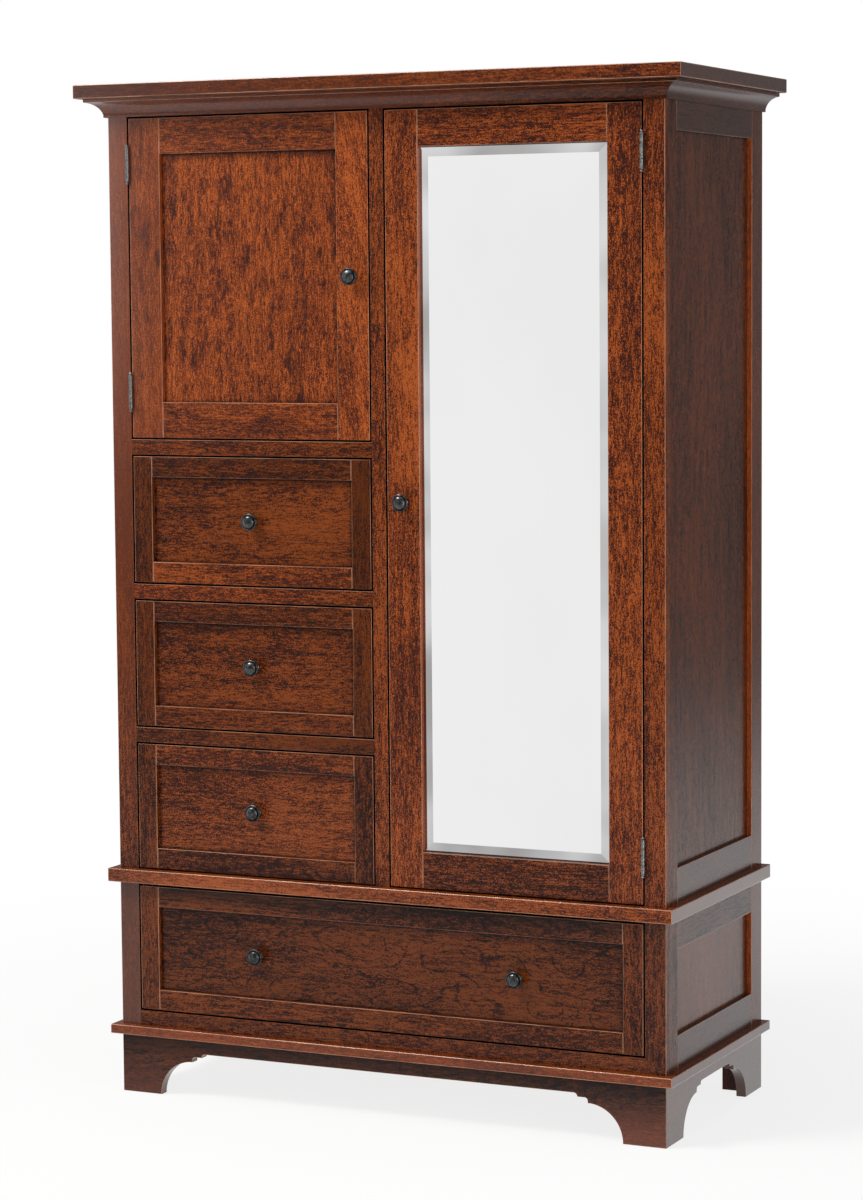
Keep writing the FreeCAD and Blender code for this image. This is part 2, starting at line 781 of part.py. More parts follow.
def save_case():
    top = nosed_slab(half_width + top_overhang, face_y - top_overhang, top_z, overall_height,
                     top_upper_round, top_lower_round)
    waist = nosed_slab(half_width + waist_overhang, face_y - waist_overhang, waist_z, upper_case_z,
                       slab_top_round, slab_bottom_round)
    band = nosed_slab(half_width + base_band_overhang, face_y - base_band_overhang, foot_height,
                      lower_case_z, slab_top_round, slab_bottom_round)
    save("top_slab", [top])
    save("waist_slab", [waist])
    save("base_band", [band])
    save("cornice_mouldings", cornice_mouldings())
    upper_frames, upper_panel = side_frames(upper_case_z, top_z - upper_case_z,
                                            upper_side_bottom_rail, upper_side_top_rail)
    left_frames = drill_shelf_holes([mirrored(frame) for frame in upper_frames])
    save("upper_side_frames", upper_frames + left_frames)
    save("upper_side_panels", [upper_panel, mirrored(upper_panel)])
    lower_frames, lower_panel = side_frames(lower_case_z, waist_z - lower_case_z,
                                            lower_side_bottom_rail, lower_side_top_rail)
    save("lower_side_frames", lower_frames + [mirrored(frame) for frame in lower_frames])
    save("lower_side_panels", [lower_panel, mirrored(lower_panel)])
    save("upper_face_frame", upper_face_frame())
    save("lower_face_frame", lower_face_frame())
    save("upper_back", [back_panel(upper_case_z, top_z)])
    save("lower_back", [back_panel(lower_case_z, waist_z)])
    back_board, blocks = base_inner()
    save("base_front", [base_front()])
    save("base_sides", base_sides())
    save("base_back", [back_board])
    save("base_corner_blocks", blocks)


def save_interior():
    save("partition", [partition()])
    save("cupboard_floor", [cupboard_floor()])
    save("adjustable_shelf", [adjustable_shelf()])
    save("shelf_pins", shelf_pins())
    save("clothes_rod", [clothes_rod()])
    save("rod_sockets", [rod_socket(partition_right, 1), rod_socket(inner_half, -1)])


def save_doors():
    through = {"left": screw_hole(-knob_x, left_knob_z, face_y, inside_front_y),
               "mirror": screw_hole(knob_x, mirror_knob_z, face_y, inside_front_y)}
    members = grooved_frame(front_width, left_door_height, face_thickness, door_stile_width,
                            door_stile_width, door_rail_height, door_rail_height, False)
    panel = tongued_panel(door_stile_width, front_width - door_stile_width, door_rail_height,
                          left_door_height - door_rail_height, 0)
    members = [moved(member, front_left, face_y, left_door_z) for member in members]
    save("left_door_frame", [member.cut(through["left"]) for member in members])
    save("left_door_panel", [moved(panel, front_left, face_y, left_door_z)])
    save("left_door_knob", knob(-knob_x, left_knob_z, face_y, inside_front_y))
    members = rabbeted_frame(front_width, mirror_door_height)
    members = [moved(member, mirror_door_left, face_y, mirror_door_z) for member in members]
    save("mirror_door_frame", [member.cut(through["mirror"]) for member in members])
    plate, backing, stops = mirror_plate(front_width, mirror_door_height)
    save("mirror_glass", [moved(plate, mirror_door_left, face_y, mirror_door_z)])
    save("mirror_backing", [moved(backing, mirror_door_left, face_y, mirror_door_z)])
    save("mirror_stops", [moved(stop, mirror_door_left, face_y, mirror_door_z) for stop in stops])
    save("mirror_door_knob", knob(knob_x, mirror_knob_z, face_y, inside_front_y))


def save_hardware():
    left_heights = hinge_heights(left_door_z, left_door_height)
    mirror_heights = hinge_heights(mirror_door_z, mirror_door_height)
    save("left_hinge_case_leaves", hinge_set(case_leaf(), left_heights, False))
    save("left_hinge_door_leaves", hinge_set(door_leaf(), left_heights, False))
    save("mirror_hinge_case_leaves", hinge_set(case_leaf(), mirror_heights, True))
    save("mirror_hinge_door_leaves", hinge_set(door_leaf(), mirror_heights, True))
    pins = hinge_set(hinge_pin(), left_heights, False) + hinge_set(hinge_pin(), mirror_heights, True)
    save("hinge_pins", pins)
    left_catch, left_strike = catch_and_strike(partition_left, -1, -centre_half - reveal_gap, left_knob_z)
    right_catch, right_strike = catch_and_strike(partition_right, 1, mirror_door_left, mirror_knob_z)
    save("magnetic_catches", [left_catch, right_catch])
    save("left_door_strike", [left_strike])
    save("mirror_door_strike", [right_strike])


def save_drawers():
    rails = []
    cleats = []
    for index in range(drawer_count):
        level = drawer_count - 1 - index
        front_z = upper_case_z + level * drawer_pitch + reveal_gap
        name = "drawer_" + str(index + 1)
        rails += save_drawer(name, -opening_edge, partition_left, front_left, front_width, front_z,
                             (drawer_centre_x,))
        cleats.append(slide_cleat(front_z + drawer_front_height / 2))
    rails += save_drawer("wide_drawer", -opening_edge, opening_edge, front_left, wide_front_width,
                         wide_front_z, (drawer_centre_x, -drawer_centre_x))
    low_cleat = slide_cleat(wide_front_z + drawer_front_height / 2)
    save("slide_cleats", cleats + [low_cleat, mirrored(low_cleat)])
    save("slide_case_members", rails)


os.makedirs("parts", exist_ok=True)
save_case()
save_interior()
save_doors()
save_hardware()
save_drawers()
print("overall", case_width + 2 * top_overhang, case_depth + top_overhang, overall_height)
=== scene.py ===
import json
import math
import random

import bmesh
import bpy
from mathutils import Matrix, Vector


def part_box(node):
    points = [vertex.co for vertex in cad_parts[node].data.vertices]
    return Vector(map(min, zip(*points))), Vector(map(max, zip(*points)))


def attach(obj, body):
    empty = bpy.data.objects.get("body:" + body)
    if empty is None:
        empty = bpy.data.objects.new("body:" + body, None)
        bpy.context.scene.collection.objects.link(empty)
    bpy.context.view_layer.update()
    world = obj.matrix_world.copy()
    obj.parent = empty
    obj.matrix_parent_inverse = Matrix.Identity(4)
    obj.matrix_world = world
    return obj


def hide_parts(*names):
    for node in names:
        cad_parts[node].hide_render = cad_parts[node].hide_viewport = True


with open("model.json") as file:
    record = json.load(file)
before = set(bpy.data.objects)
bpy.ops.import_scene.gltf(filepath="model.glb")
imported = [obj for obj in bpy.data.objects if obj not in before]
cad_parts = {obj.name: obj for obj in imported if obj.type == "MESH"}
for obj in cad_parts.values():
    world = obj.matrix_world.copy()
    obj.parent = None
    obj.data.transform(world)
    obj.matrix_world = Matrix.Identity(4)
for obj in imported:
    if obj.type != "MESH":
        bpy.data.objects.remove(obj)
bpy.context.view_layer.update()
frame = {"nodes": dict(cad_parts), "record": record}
scene = bpy.context.scene
scene.view_settings.view_transform = "Standard"
mm = 0.001
touch = 1e-6  # metres within which two places are the same
bodyOf = {node: body for body, nodes in frame["record"]["behaviour"]["bodies"].items() for node in nodes}
slotOf = {subpart["node"]: subpart["material_slot"] for subpart in frame["record"]["subparts"]}
print("frame loaded:", len(frame["nodes"]), "nodes")


# camera where the photograph was taken

viewPoint = {
    "place": (2.5988, -5.5511, 1.4885),
    "forward": (-0.4227, 0.9017, -0.0910),
    "up": (-0.0315, 0.0857, 0.9958),
    "lens": 99.47,
    "sensor": 36.0,
}


def setCamera(look):
    forward = Vector(look["forward"]).normalized()
    right = forward.cross(Vector(look["up"])).normalized()
    upward = right.cross(forward)
    data = bpy.data.cameras.new("photoCamera")
    data.lens = look["lens"]
    data.sensor_width = look["sensor"]
    camera = bpy.data.objects.new("photoCamera", data)
    turn = Matrix((right, upward, -forward)).transposed().to_4x4()
    camera.matrix_world = Matrix.Translation(look["place"]) @ turn
    scene.collection.objects.link(camera)
    scene.camera = camera


setCamera(viewPoint)


# small helpers for shader trees

def feed(tree, node, inputs):  # links sockets, and sets plain values on the node's own sockets
    for key, value in inputs.items():
        socket = node.inputs[key]
        if isinstance(value, bpy.types.NodeSocket):
            tree.links.new(value, socket)
        else:
            socket.default_value = (*value[:3], 1.0) if socket.type == "RGBA" else value


def addNode(tree, kind, inputs={}, **settings):
    made = tree.nodes.new("ShaderNode" + kind)
    for key, value in settings.items():
        setattr(made, key, value)
    feed(tree, made, inputs)
    return made


def calc(tree, operation, first, second=0.0, third=0.0):
    return addNode(tree, "Math", {0: first, 1: second, 2: third}, operation=operation).outputs[0]


def vectorCalc(tree, operation, inputs, output="Vector"):
    return addNode(tree, "VectorMath", inputs, operation=operation).outputs[output]


def scaled(tree, vector, amounts):
    return vectorCalc(tree, "MULTIPLY", {0: vector, 1: amounts})


def parts(tree, vector):
    return addNode(tree, "SeparateXYZ", {0: vector}).outputs


def joined(tree, *values):
    return addNode(tree, "CombineXYZ", dict(enumerate(values))).outputs[0]


def attribute(tree, name, output="Vector"):
    return addNode(tree, "Attribute", attribute_name=name).outputs[output]


def mixColour(tree, share, first, second, blend="MIX"):
    made = addNode(tree, "Mix", {0: share, 6: first, 7: second}, data_type="RGBA", blend_type=blend)
    return made.outputs[2]


def mixShader(tree, share, first, second):
    inputs = {0: share, 1: first.outputs[0], 2: second.outputs[0]}
    return addNode(tree, "MixShader", inputs)


def ramp(tree, value, low, high, toLow=0.0, toHigh=1.0, kind="SMOOTHSTEP"):
    inputs = {"Value": value, "From Min": low, "From Max": high, "To Min": toLow, "To Max": toHigh}
    return addNode(tree, "MapRange", inputs, interpolation_type=kind).outputs["Result"]


def noise(tree, vector, seed, detail, roughness=0.5, output="Fac"):
    inputs = {"Vector": vector, "W": seed, "Scale": 1.0, "Detail": detail, "Roughness": roughness}
    return addNode(tree, "TexNoise", inputs, noise_dimensions="4D").outputs[output]


def newGroup(name, inputs, outputs):
    group = bpy.data.node_groups.new(name, "ShaderNodeTree")
    for direction, sockets in (("INPUT", inputs), ("OUTPUT", outputs)):
        for label, kind in sockets.items():
            group.interface.new_socket(label, in_out=direction, socket_type="NodeSocket" + kind)
    return group, group.nodes.new("NodeGroupInput").outputs, group.nodes.new("NodeGroupOutput")


def newMaterial(name):
    material = bpy.data.materials.new(name)
    material.use_nodes = True
    tree = material.node_tree
    return material, tree, tree.nodes["Principled BSDF"]


# studio: white surround, pale floor that keeps the shadow, soft lamps

studio = {
    "white": (1.0, 1.0, 1.0),
    "fill": (0.94, 0.97, 1.0),
    "fillLevel": 0.19,
    "floorColour": (0.86, 0.86, 0.86),
    "floorRoughness": 0.8,
    "floorHalf": 30.0,
    "floorDrop": 0.3 * mm,
    "shadow": (0.5, 2.6),  # metres from the middle, nearest and farthest
    "nearWhite": 0.82,  # share of plain white beside the feet
    "roomLevel": 0.20,  # what a satin gloss reflects beyond the white floor
    "gloss": (2.0, 8.0),  # metres from the middle over which it fades to that
}
lamps = {  # place, aim, width and height, watts, colour
    "keyLamp": ((-2.6, -2.8, 5.4), (0.0, -0.2, 1.0), (1.7, 1.7), 325.0, (1.0, 0.98, 0.95)),
    "fillLamp": ((2.6, -4.6, 2.2), (0.0, -0.2, 0.8), (2.6, 2.6), 28.0, (1.0, 0.98, 0.96)),
    "topLamp": ((0.2, -0.4, 4.4), (0.0, 0.0, 1.0), (2.4, 1.6), 34.0, (1.0, 1.0, 1.0)),
    "rightStrip": ((3.4, -2.2, 1.2), (0.2, -0.2, 1.0), (0.30, 2.6), 36.0, (1.0, 0.99, 0.97)),
    "leftSheen": ((-3.9, -5.2, 2.25), (-0.5, -0.27, 1.5), (0.34, 2.4), 14.0, (1.0, 1.0, 1.0)),
    "leftStrip": ((-3.6, -1.5, 1.2), (0.0, -0.2, 1.0), (0.30, 2.6), 14.0, (1.0, 0.99, 0.97)),
}


def seenRays(tree, glossShare):  # camera, glass and mirror see all the white, satin gloss its share
    path = addNode(tree, "LightPath").outputs
    satin = calc(tree, "MULTIPLY", path["Is Glossy Ray"], glossShare)
    mirrored = calc(tree, "MULTIPLY", path["Is Glossy Ray"], path["Is Singular Ray"])
    seen = calc(tree, "MAXIMUM", calc(tree, "MAXIMUM", satin, mirrored), path["Is Camera Ray"])
    return calc(tree, "MAXIMUM", seen, path["Is Transmission Ray"]), path["Is Glossy Ray"]


def makeWorld(look):
    world = bpy.data.worlds.new("whiteRoom")
    world.use_nodes = True
    tree = world.node_tree
    tree.nodes.clear()
    seen, glossy = seenRays(tree, look["roomLevel"])
    level = calc(tree, "MULTIPLY", calc(tree, "SUBTRACT", 1.0, glossy), look["fillLevel"])
    soft = addNode(tree, "Background", {"Color": look["fill"], "Strength": level})
    white = addNode(tree, "Background", {"Color": look["white"], "Strength": 1.0})
    addNode(tree, "OutputWorld", {"Surface": mixShader(tree, seen, soft, white).outputs[0]})
    scene.world = world


def makeFloor(look):
    material, tree, matte = newMaterial("paleFloor")
    feed(tree, matte, {"Base Color": look["floorColour"], "Roughness": look["floorRoughness"]})
    where = addNode(tree, "NewGeometry").outputs["Position"]
    away = vectorCalc(tree, "LENGTH", {0: where}, "Value")
    share = ramp(tree, away, *look["shadow"], look["nearWhite"], 1.0)
    gloss = ramp(tree, away, *look["gloss"], 1.0, look["roomLevel"])
    seen, glossy = seenRays(tree, gloss)
    plain = addNode(tree, "Emission", {"Color": look["white"], "Strength": 1.0})
    dark = addNode(tree, "Emission", {"Strength": 0.0})
    under = mixShader(tree, glossy, matte, dark)
    both = mixShader(tree, calc(tree, "MULTIPLY", seen, share), under, plain)
    feed(tree, tree.nodes["Material Output"], {"Surface": both.outputs[0]})
    half = look["floorHalf"]
    mesh = bpy.data.meshes.new("floor")
    corners = [(-half, -half, 0), (half, -half, 0), (half, half, 0), (-half, half, 0)]
    mesh.from_pydata(corners, [], [(0, 1, 2, 3)])
    floor = bpy.data.objects.new("floor", mesh)
    mesh.materials.append(material)
    floor.location.z = -look["floorDrop"]
    scene.collection.objects.link(floor)


def makeLamps(rows):
    for name, (place, aim, size, watts, colour) in rows.items():
        data = bpy.data.lights.new(name, "AREA")
        data.shape = "RECTANGLE"
        data.size, data.size_y = size
        data.energy = watts
        data.color = colour
        lamp = bpy.data.objects.new(name, data)
        lamp.location = place
        lamp.rotation_euler = (Vector(aim) - Vector(place)).to_track_quat("-Z", "Y").to_euler()
        lamp.visible_camera = False
        scene.collection.objects.link(lamp)


makeWorld(studio)
makeFloor(studio)
makeLamps(lamps)
print("camera and studio ready")


# shader groups that several finishes share

grainNoise = {  # turns per metre along, across and through a board, octaves, roughness
    "drift": ((2.0, 6.0, 6.0), 2.0, 0.5),
    "wave": ((17.0, 46.0, 46.0), 2.0, 0.5),
    "streak": ((9.0, 105.0, 105.0), 3.0, 0.6),
    "line": ((8.0, 190.0, 190.0), 2.0, 0.55),
    "fleck": ((70.0, 560.0, 560.0), 1.0, 0.5),
    "grit": ((420.0, 600.0, 600.0), 1.0, 0.5),
    "mottle": ((24.0, 46.0, 46.0), 3.0, 0.5),
    "broad": ((2.2, 5.5, 5.5), 2.0, 0.5),
    "cloud": ((5.0, 10.5, 10.5), 1.0, 0.5),
}
grainShare = {  # how much each feature moves the tone
    "streak": 1.15,
    "fleck": 1.75,
    "grit": 2.3,
    "broad": 1.5,
    "mottle": 1.0,
    "cloud": 0.36,
}
grainShape = {  # slopes come with a level, features with where they begin and end
    "drift": (0.06, 0.018),  # metres by which the figure bends the grain
    "wave": (0.012, 0.002),
    "lineHalf": 0.07,
    "lineWhere": (0.35, 0.65),
    "cloudTurns": 62.0,
    "cloudWhere": (0.93, 1.0),
    "cloudFigure": (0.60, 0.90),
    "mottleWhere": (0.32, 0.50),
    "contrast": (-1.2, 2.45),  # dark boards show their grain more
    "middle": 0.55,
    "gloss": (-0.12, 0.31),
    "fleckHeight": 0.5,
}


def makeWoodGrain(noises, share, shape):
    group, given, out = newGroup(
        "woodGrain",
        {"Position": "Vector", "Seed": "Float", "Figure": "Float", "Tone": "Float", "Lined": "Float",
         "Spots": "Float", "Contrast": "Float", "Dark": "Color", "Mid": "Color", "Light": "Color"},
        {"Color": "Color", "Gloss": "Float", "Height": "Float"})
    figure, tone = given["Figure"], given["Tone"]

    def times(first, second):
        return calc(group, "MULTIPLY", first, second)

    def less(first, second):
        return calc(group, "SUBTRACT", first, second)

    def sloped(value, slope, level):
        return calc(group, "MULTIPLY_ADD", value, slope, level)

    def feature(name, where, output="Fac"):
        turns, detail, roughness = noises[name]
        return noise(group, scaled(group, where, turns), given["Seed"], detail, roughness, output)

    def bent(name, where):
        shift = vectorCalc(group, "SUBTRACT", {0: feature(name, where, "Color"), 1: (0.5, 0.5, 0.5)})
        shift = vectorCalc(group, "SCALE", {0: shift, "Scale": sloped(figure, *shape[name])})
        return vectorCalc(group, "ADD", {0: where, 1: shift})

    where = bent("wave", bent("drift", given["Position"]))
    found = {name: feature(name, where) for name in noises if name not in ("drift", "wave")}
    nearLine = calc(group, "ABSOLUTE", less(found["line"], 0.5))
    line = times(ramp(group, nearLine, 0.0, shape["lineHalf"], 1.0, 0.0),
                 ramp(group, found["broad"], *shape["lineWhere"]))
    turns = calc(group, "SINE", times(found["cloud"], shape["cloudTurns"]))
    cloud = times(ramp(group, turns, *shape["cloudWhere"]), ramp(group, figure, *shape["cloudFigure"]))
    spots = times(ramp(group, found["mottle"], *shape["mottleWhere"], share["mottle"], 0.0), given["Spots"])

    value = times(less(found["streak"], 0.5), share["streak"])
    for name in ("fleck", "grit", "broad"):
        value = calc(group, "ADD", value, times(less(found[name], 0.5), share[name]))
    for mark in (spots, times(line, given["Lined"]), times(cloud, share["cloud"])):
        value = less(value, mark)
    value = sloped(value, times(sloped(tone, *shape["contrast"]), given["Contrast"]), shape["middle"])
    low = ramp(group, value, 0.0, 0.5, kind="LINEAR")
    high = ramp(group, value, 0.5, 1.0, kind="LINEAR")
    colour = mixColour(group, high, mixColour(group, low, given["Dark"], given["Mid"]), given["Light"])
    feed(group, out, {
        "Color": mixColour(group, 1.0, colour, joined(group, tone, tone, tone), "MULTIPLY"),
        "Gloss": sloped(value, *shape["gloss"]),
        "Height": less(sloped(found["fleck"], shape["fleckHeight"], found["streak"]), line),
    })
    return group


# patches that break up the lighter edge colour, which is partly wear and partly a painted highlight
wearAndGlintPatches = {"scale": (14.0, 14.0, 14.0), "octaves": 3.0, "where": (0.30, 0.62), "least": 0.35}


# mixes a lighter colour onto the eased edges: rubbed wear together with a painted highlight
def makeEdgeWearAndGlint(look):
    group, given, out = newGroup(
        "edgeWearAndGlint",
        {"Color": "Color", "Edge": "Float", "Position": "Vector", "Seed": "Float", "Worn": "Color",
         "Amount": "Float"},
        {"Color": "Color"})
    patch = noise(group, scaled(group, given["Position"], look["scale"]), given["Seed"], look["octaves"])
    patch = ramp(group, patch, *look["where"], look["least"], 1.0)
    mask = calc(group, "MULTIPLY", calc(group, "MULTIPLY", given["Edge"], patch), given["Amount"])
    feed(group, out, {"Color": mixColour(group, mask, given["Color"], given["Worn"])})
    return group


rubMarks = {  # seed, octaves and roughness of the marks, and their shares of the roughness
    "cloud": (3.0, 4.0, 0.6),
    "grit": (5.0, 2.0, 0.5),
    "gritScale": (9.0, 9.0, 9.0),
    "where": (0.34, 0.70),
    "cloudGloss": 0.22,
    "gritGloss": 0.12,
}


def makeRubbedMetal(look):
    group, given, out = newGroup(
        "rubbedMetal",
        {"Position": "Vector", "Scale": "Float", "Deep": "Color", "Bright": "Color"},
        {"Color": "Color", "Gloss": "Float", "Height": "Float"})
    grown = vectorCalc(group, "SCALE", {0: given["Position"], "Scale": given["Scale"]})
    cloud = noise(group, grown, *look["cloud"])
    grit = noise(group, scaled(group, grown, look["gritScale"]), *look["grit"])
    gritGloss = calc(group, "MULTIPLY", grit, look["gritGloss"])
    feed(group, out, {
        "Color": mixColour(group, ramp(group, cloud, *look["where"]), given["Deep"], given["Bright"]),
        "Gloss": calc(group, "MULTIPLY_ADD", cloud, look["cloudGloss"], gritGloss),
        "Height": grit,
    })
    return group


woodGrain = makeWoodGrain(grainNoise, grainShare, grainShape)
edgeWearAndGlint = makeEdgeWearAndGlint(wearAndGlintPatches)
rubbedMetal = makeRubbedMetal(rubMarks)


# finishes

stain = {
    "dark": (0.028, 0.0063, 0.0040),
    "mid": (0.169, 0.0326, 0.0072),
    "light": (0.336, 0.079, 0.0176),
    # lighter edge colour, partly wear and partly a painted highlight
    "wearAndGlint": (0.62, 0.31, 0.18),
    "wearAndGlintAmount": 0.55,
    "edgeGloss": 0.6,  # how far the rubbed edges lose their roughness
    "edgeCoat": 0.4,
    "lacquerRoughness": 0.22,
    "lacquerVeil": 1.6,  # share of the grain that a full lacquer hides
    "leastGrain": 0.25,
    "specular": 0.20,
    "bump": 0.03,
}
bumpDepth = {"wood": 0.4 * mm, "metal": 0.1 * mm}


def grouped(tree, group, **inputs):  # a group's outputs, its inputs given by name
    return addNode(tree, "Group", inputs, node_tree=group).outputs


def bumped(tree, height, strength, kind="wood"):
    inputs = {"Strength": strength, "Distance": bumpDepth[kind], "Height": height}
    return addNode(tree, "Bump", inputs).outputs["Normal"]


def stainedCherry(look):
    material, tree, shader = newMaterial("stainedCherry")
    place = attribute(tree, "grainPlace")
    tone, figure, seed = parts(tree, attribute(tree, "grainTraits"))
    lacquer, lined, spots = parts(tree, attribute(tree, "surfaceTraits"))
    eased = attribute(tree, "easedEdge", "Fac")
    veil = calc(tree, "MULTIPLY_ADD", lacquer, -look["lacquerVeil"], 1.0)
    veil = calc(tree, "MAXIMUM", veil, look["leastGrain"])
    grain = grouped(tree, woodGrain, Position=place, Seed=seed, Figure=figure, Tone=tone, Lined=lined,
                    Spots=spots, Contrast=veil, Dark=look["dark"], Mid=look["mid"], Light=look["light"])
    # the eased edges get the lighter colour, partly wear and partly a painted highlight
    wearAndGlintOut = grouped(tree, edgeWearAndGlint, Color=grain["Color"], Edge=eased, Position=place, Seed=seed,
                   Worn=look["wearAndGlint"], Amount=look["wearAndGlintAmount"])
    polish = calc(tree, "MULTIPLY_ADD", eased, -look["edgeGloss"], 1.0)
    feed(tree, shader, {
        "Base Color": wearAndGlintOut["Color"],
        "Roughness": calc(tree, "MULTIPLY", grain["Gloss"], polish),
        "Normal": bumped(tree, grain["Height"], look["bump"]),
        "Coat Weight": calc(tree, "MULTIPLY_ADD", eased, look["edgeCoat"], lacquer),
        "Coat Roughness": look["lacquerRoughness"],
        "Specular IOR Level": look["specular"],
    })
    return material


boards = {  # dark, mid and light colour, contrast, figure, added roughness
    "insideCherry": ((0.075, 0.022, 0.010), (0.235, 0.075, 0.030), (0.38, 0.145, 0.060), 0.7, 0.15, 0.12),
    "plainWood": ((0.22, 0.12, 0.060), (0.46, 0.29, 0.165), (0.62, 0.43, 0.26), 0.6, 0.10, 0.30),
    "baseWood": ((0.018, 0.0055, 0.0028), (0.070, 0.0190, 0.0085), (0.13, 0.041, 0.018), 0.8, 0.15, 0.25),
    "backPly": ((0.115, 0.041, 0.017), (0.315, 0.128, 0.055), (0.44, 0.20, 0.092), 0.55, 0.45, 0.20),
    "boxMaple": ((0.40, 0.25, 0.125), (0.66, 0.48, 0.285), (0.78, 0.62, 0.42), 0.6, 0.12, 0.04),
    "hardboard": ((0.11, 0.062, 0.035), (0.24, 0.140, 0.080), (0.32, 0.20, 0.12), 0.3, 0.30, 0.30),
}
boardGrain = {"Seed": 4.0, "Tone": 1.0, "Lined": 0.2, "Spots": 0.1}
boardLook = {"bump": 0.08, "specular": 0.25}
flatFrom = 0.7  # upward share of the normal from which a face is the bottom of a box


def boardFinish(name, order):
    dark, mid, light, contrast, figure, matt = boards[name]
    material, tree, shader = newMaterial(name + "-" + order)
    axes = parts(tree, addNode(tree, "TexCoord").outputs["Object"])
    if order == "box":  # sides run with their length, the bottom across
        lie = parts(tree, addNode(tree, "NewGeometry").outputs["Normal"])
        flat = calc(tree, "GREATER_THAN", calc(tree, "ABSOLUTE", lie["Z"]), flatFrom)
        upright = joined(tree, calc(tree, "ADD", axes["X"], axes["Y"]), axes["Z"])
        inputs = {0: flat, 4: upright, 5: joined(tree, *axes)}
        place = addNode(tree, "Mix", inputs, data_type="VECTOR").outputs[1]
    else:
        place = joined(tree, *(axes[letter] for letter in order.upper()))
    grain = grouped(tree, woodGrain, Position=place, Figure=figure, Contrast=contrast, Dark=dark, Mid=mid,
                    Light=light, **boardGrain)
    feed(tree, shader, {
        "Base Color": grain["Color"],
        "Roughness": calc(tree, "ADD", grain["Gloss"], matt),
        "Normal": bumped(tree, grain["Height"], boardLook["bump"]),
        "Specular IOR Level": boardLook["specular"],
    })
    return material


metals = {  # deep, bright, cloud scale, metallic, base roughness, bump
    "gunmetal": ((0.034, 0.035, 0.036), (0.125, 0.127, 0.128), 140.0, 0.9, 0.13, 0.10),
    "hingeSteel": ((0.12, 0.125, 0.127), (0.36, 0.37, 0.375), 220.0, 1.0, 0.22, 0.10),
    "zinc": ((0.42, 0.43, 0.44), (0.66, 0.67, 0.68), 60.0, 1.0, 0.18, 0.06),
    "catchPlastic": ((0.075, 0.048, 0.036), (0.115, 0.075, 0.056), 90.0, 0.0, 0.36, 0.20),
}


def metalFinish(name):
    deep, bright, scale, metallic, matt, bump = metals[name]
    material, tree, shader = newMaterial(name)
    place = addNode(tree, "TexCoord").outputs["Object"]
    rubbed = grouped(tree, rubbedMetal, Position=place, Scale=scale, Deep=deep, Bright=bright)
    feed(tree, shader, {
        "Base Color": rubbed["Color"],
        "Roughness": calc(tree, "ADD", rubbed["Gloss"], matt),
        "Normal": bumped(tree, rubbed["Height"], bump, "metal"),
        "Metallic": metallic,
    })
    return material


mirrorPaintedReflection = {  # painted reflection on the glass: turns per metre, seed, octaves, where it begins and ends, two colours
    "paintedReflectionPatches": ((3.0, 3.0, 1.6), 2.0, 3.0, (0.35, 0.70), (0.855, 0.85, 0.85), (0.825, 0.82, 0.82)),
    "bevel": ((4.5, 4.5, 4.5), 8.0, 2.0, (0.34, 0.66), (0.34, 0.33, 0.325), (0.72, 0.725, 0.735)),
}


def mirrorFinish(look):  # painted reflection: patches on the flat glass, and the bevels darkened in bands
    material, tree, shader = newMaterial("silveredGlass")
    place = addNode(tree, "TexCoord").outputs["Object"]

    def patches(turns, seed, octaves, where, first, second):
        marks = noise(tree, scaled(tree, place, turns), seed, octaves)
        return mixColour(tree, ramp(tree, marks, *where), first, second)

    flat, slope = patches(*look["paintedReflectionPatches"]), patches(*look["bevel"])
    paintedBevelReflection = attribute(tree, "paintedBevelReflection", "Fac")
    feed(tree, shader, {
        "Base Color": mixColour(tree, paintedBevelReflection, flat, slope),
        "Roughness": 0.0,
        "Metallic": 1.0,
    })
    return material


slotFinishes = {
    "cherry": stainedCherry(stain),
    "bronze": metalFinish("gunmetal"),
    "hinge_steel": metalFinish("hingeSteel"),
    "zinc": metalFinish("zinc"),
    "catch_plastic": metalFinish("catchPlastic"),
    "mirror": mirrorFinish(mirrorPaintedReflection),
}
print("finishes ready")


# mesh helpers: every piece is made in place, in metres

sideNames = {(0, -1): "x-", (0, 1): "x+", (1, -1): "y-", (1, 1): "y+", (2, -1): "z-", (2, 1): "z+"}
easing = {"board": 1.2 * mm, "segments": 2, "crease": 38.0}  # round of an edge, degrees of a crease
facing = 0.2  # share of the normal from which an eased face looks to a side


def sideOf(face):
    axis = max(range(3), key=lambda i: abs(face.normal[i]))
    return sideNames[(axis, 1 if face.normal[axis] > 0 else -1)]


def startMesh():
    bm = bmesh.new()
    bm.faces.layers.float.new("easedEdge")
    return bm


def startBox(lo, hi):
    bm = startMesh()
    for vert in bmesh.ops.create_cube(bm, size=1.0)["verts"]:
        vert.co = Vector([(lo[i] + hi[i]) / 2 + vert.co[i] * (hi[i] - lo[i]) for i in range(3)])
    bm.normal_update()
    return bm


def easeEdges(bm, edges, offset, segments=easing["segments"]):
    made = bmesh.ops.bevel(bm, geom=edges, offset=offset, segments=segments, profile=0.5, affect="EDGES",
                           clamp_overlap=True)
    layer = bm.faces.layers.float["easedEdge"]
    for face in made["faces"]:
        face[layer] = 1.0
    bm.normal_update()


def edgesBetween(bm, wanted):  # wanted takes the names of the two sides that meet
    found = []
    for edge in bm.edges:
        if len(edge.link_faces) == 2:
            first, second = (sideOf(face) for face in edge.link_faces)
            if first != second and wanted(first, second):
                found.append(edge)
    return found


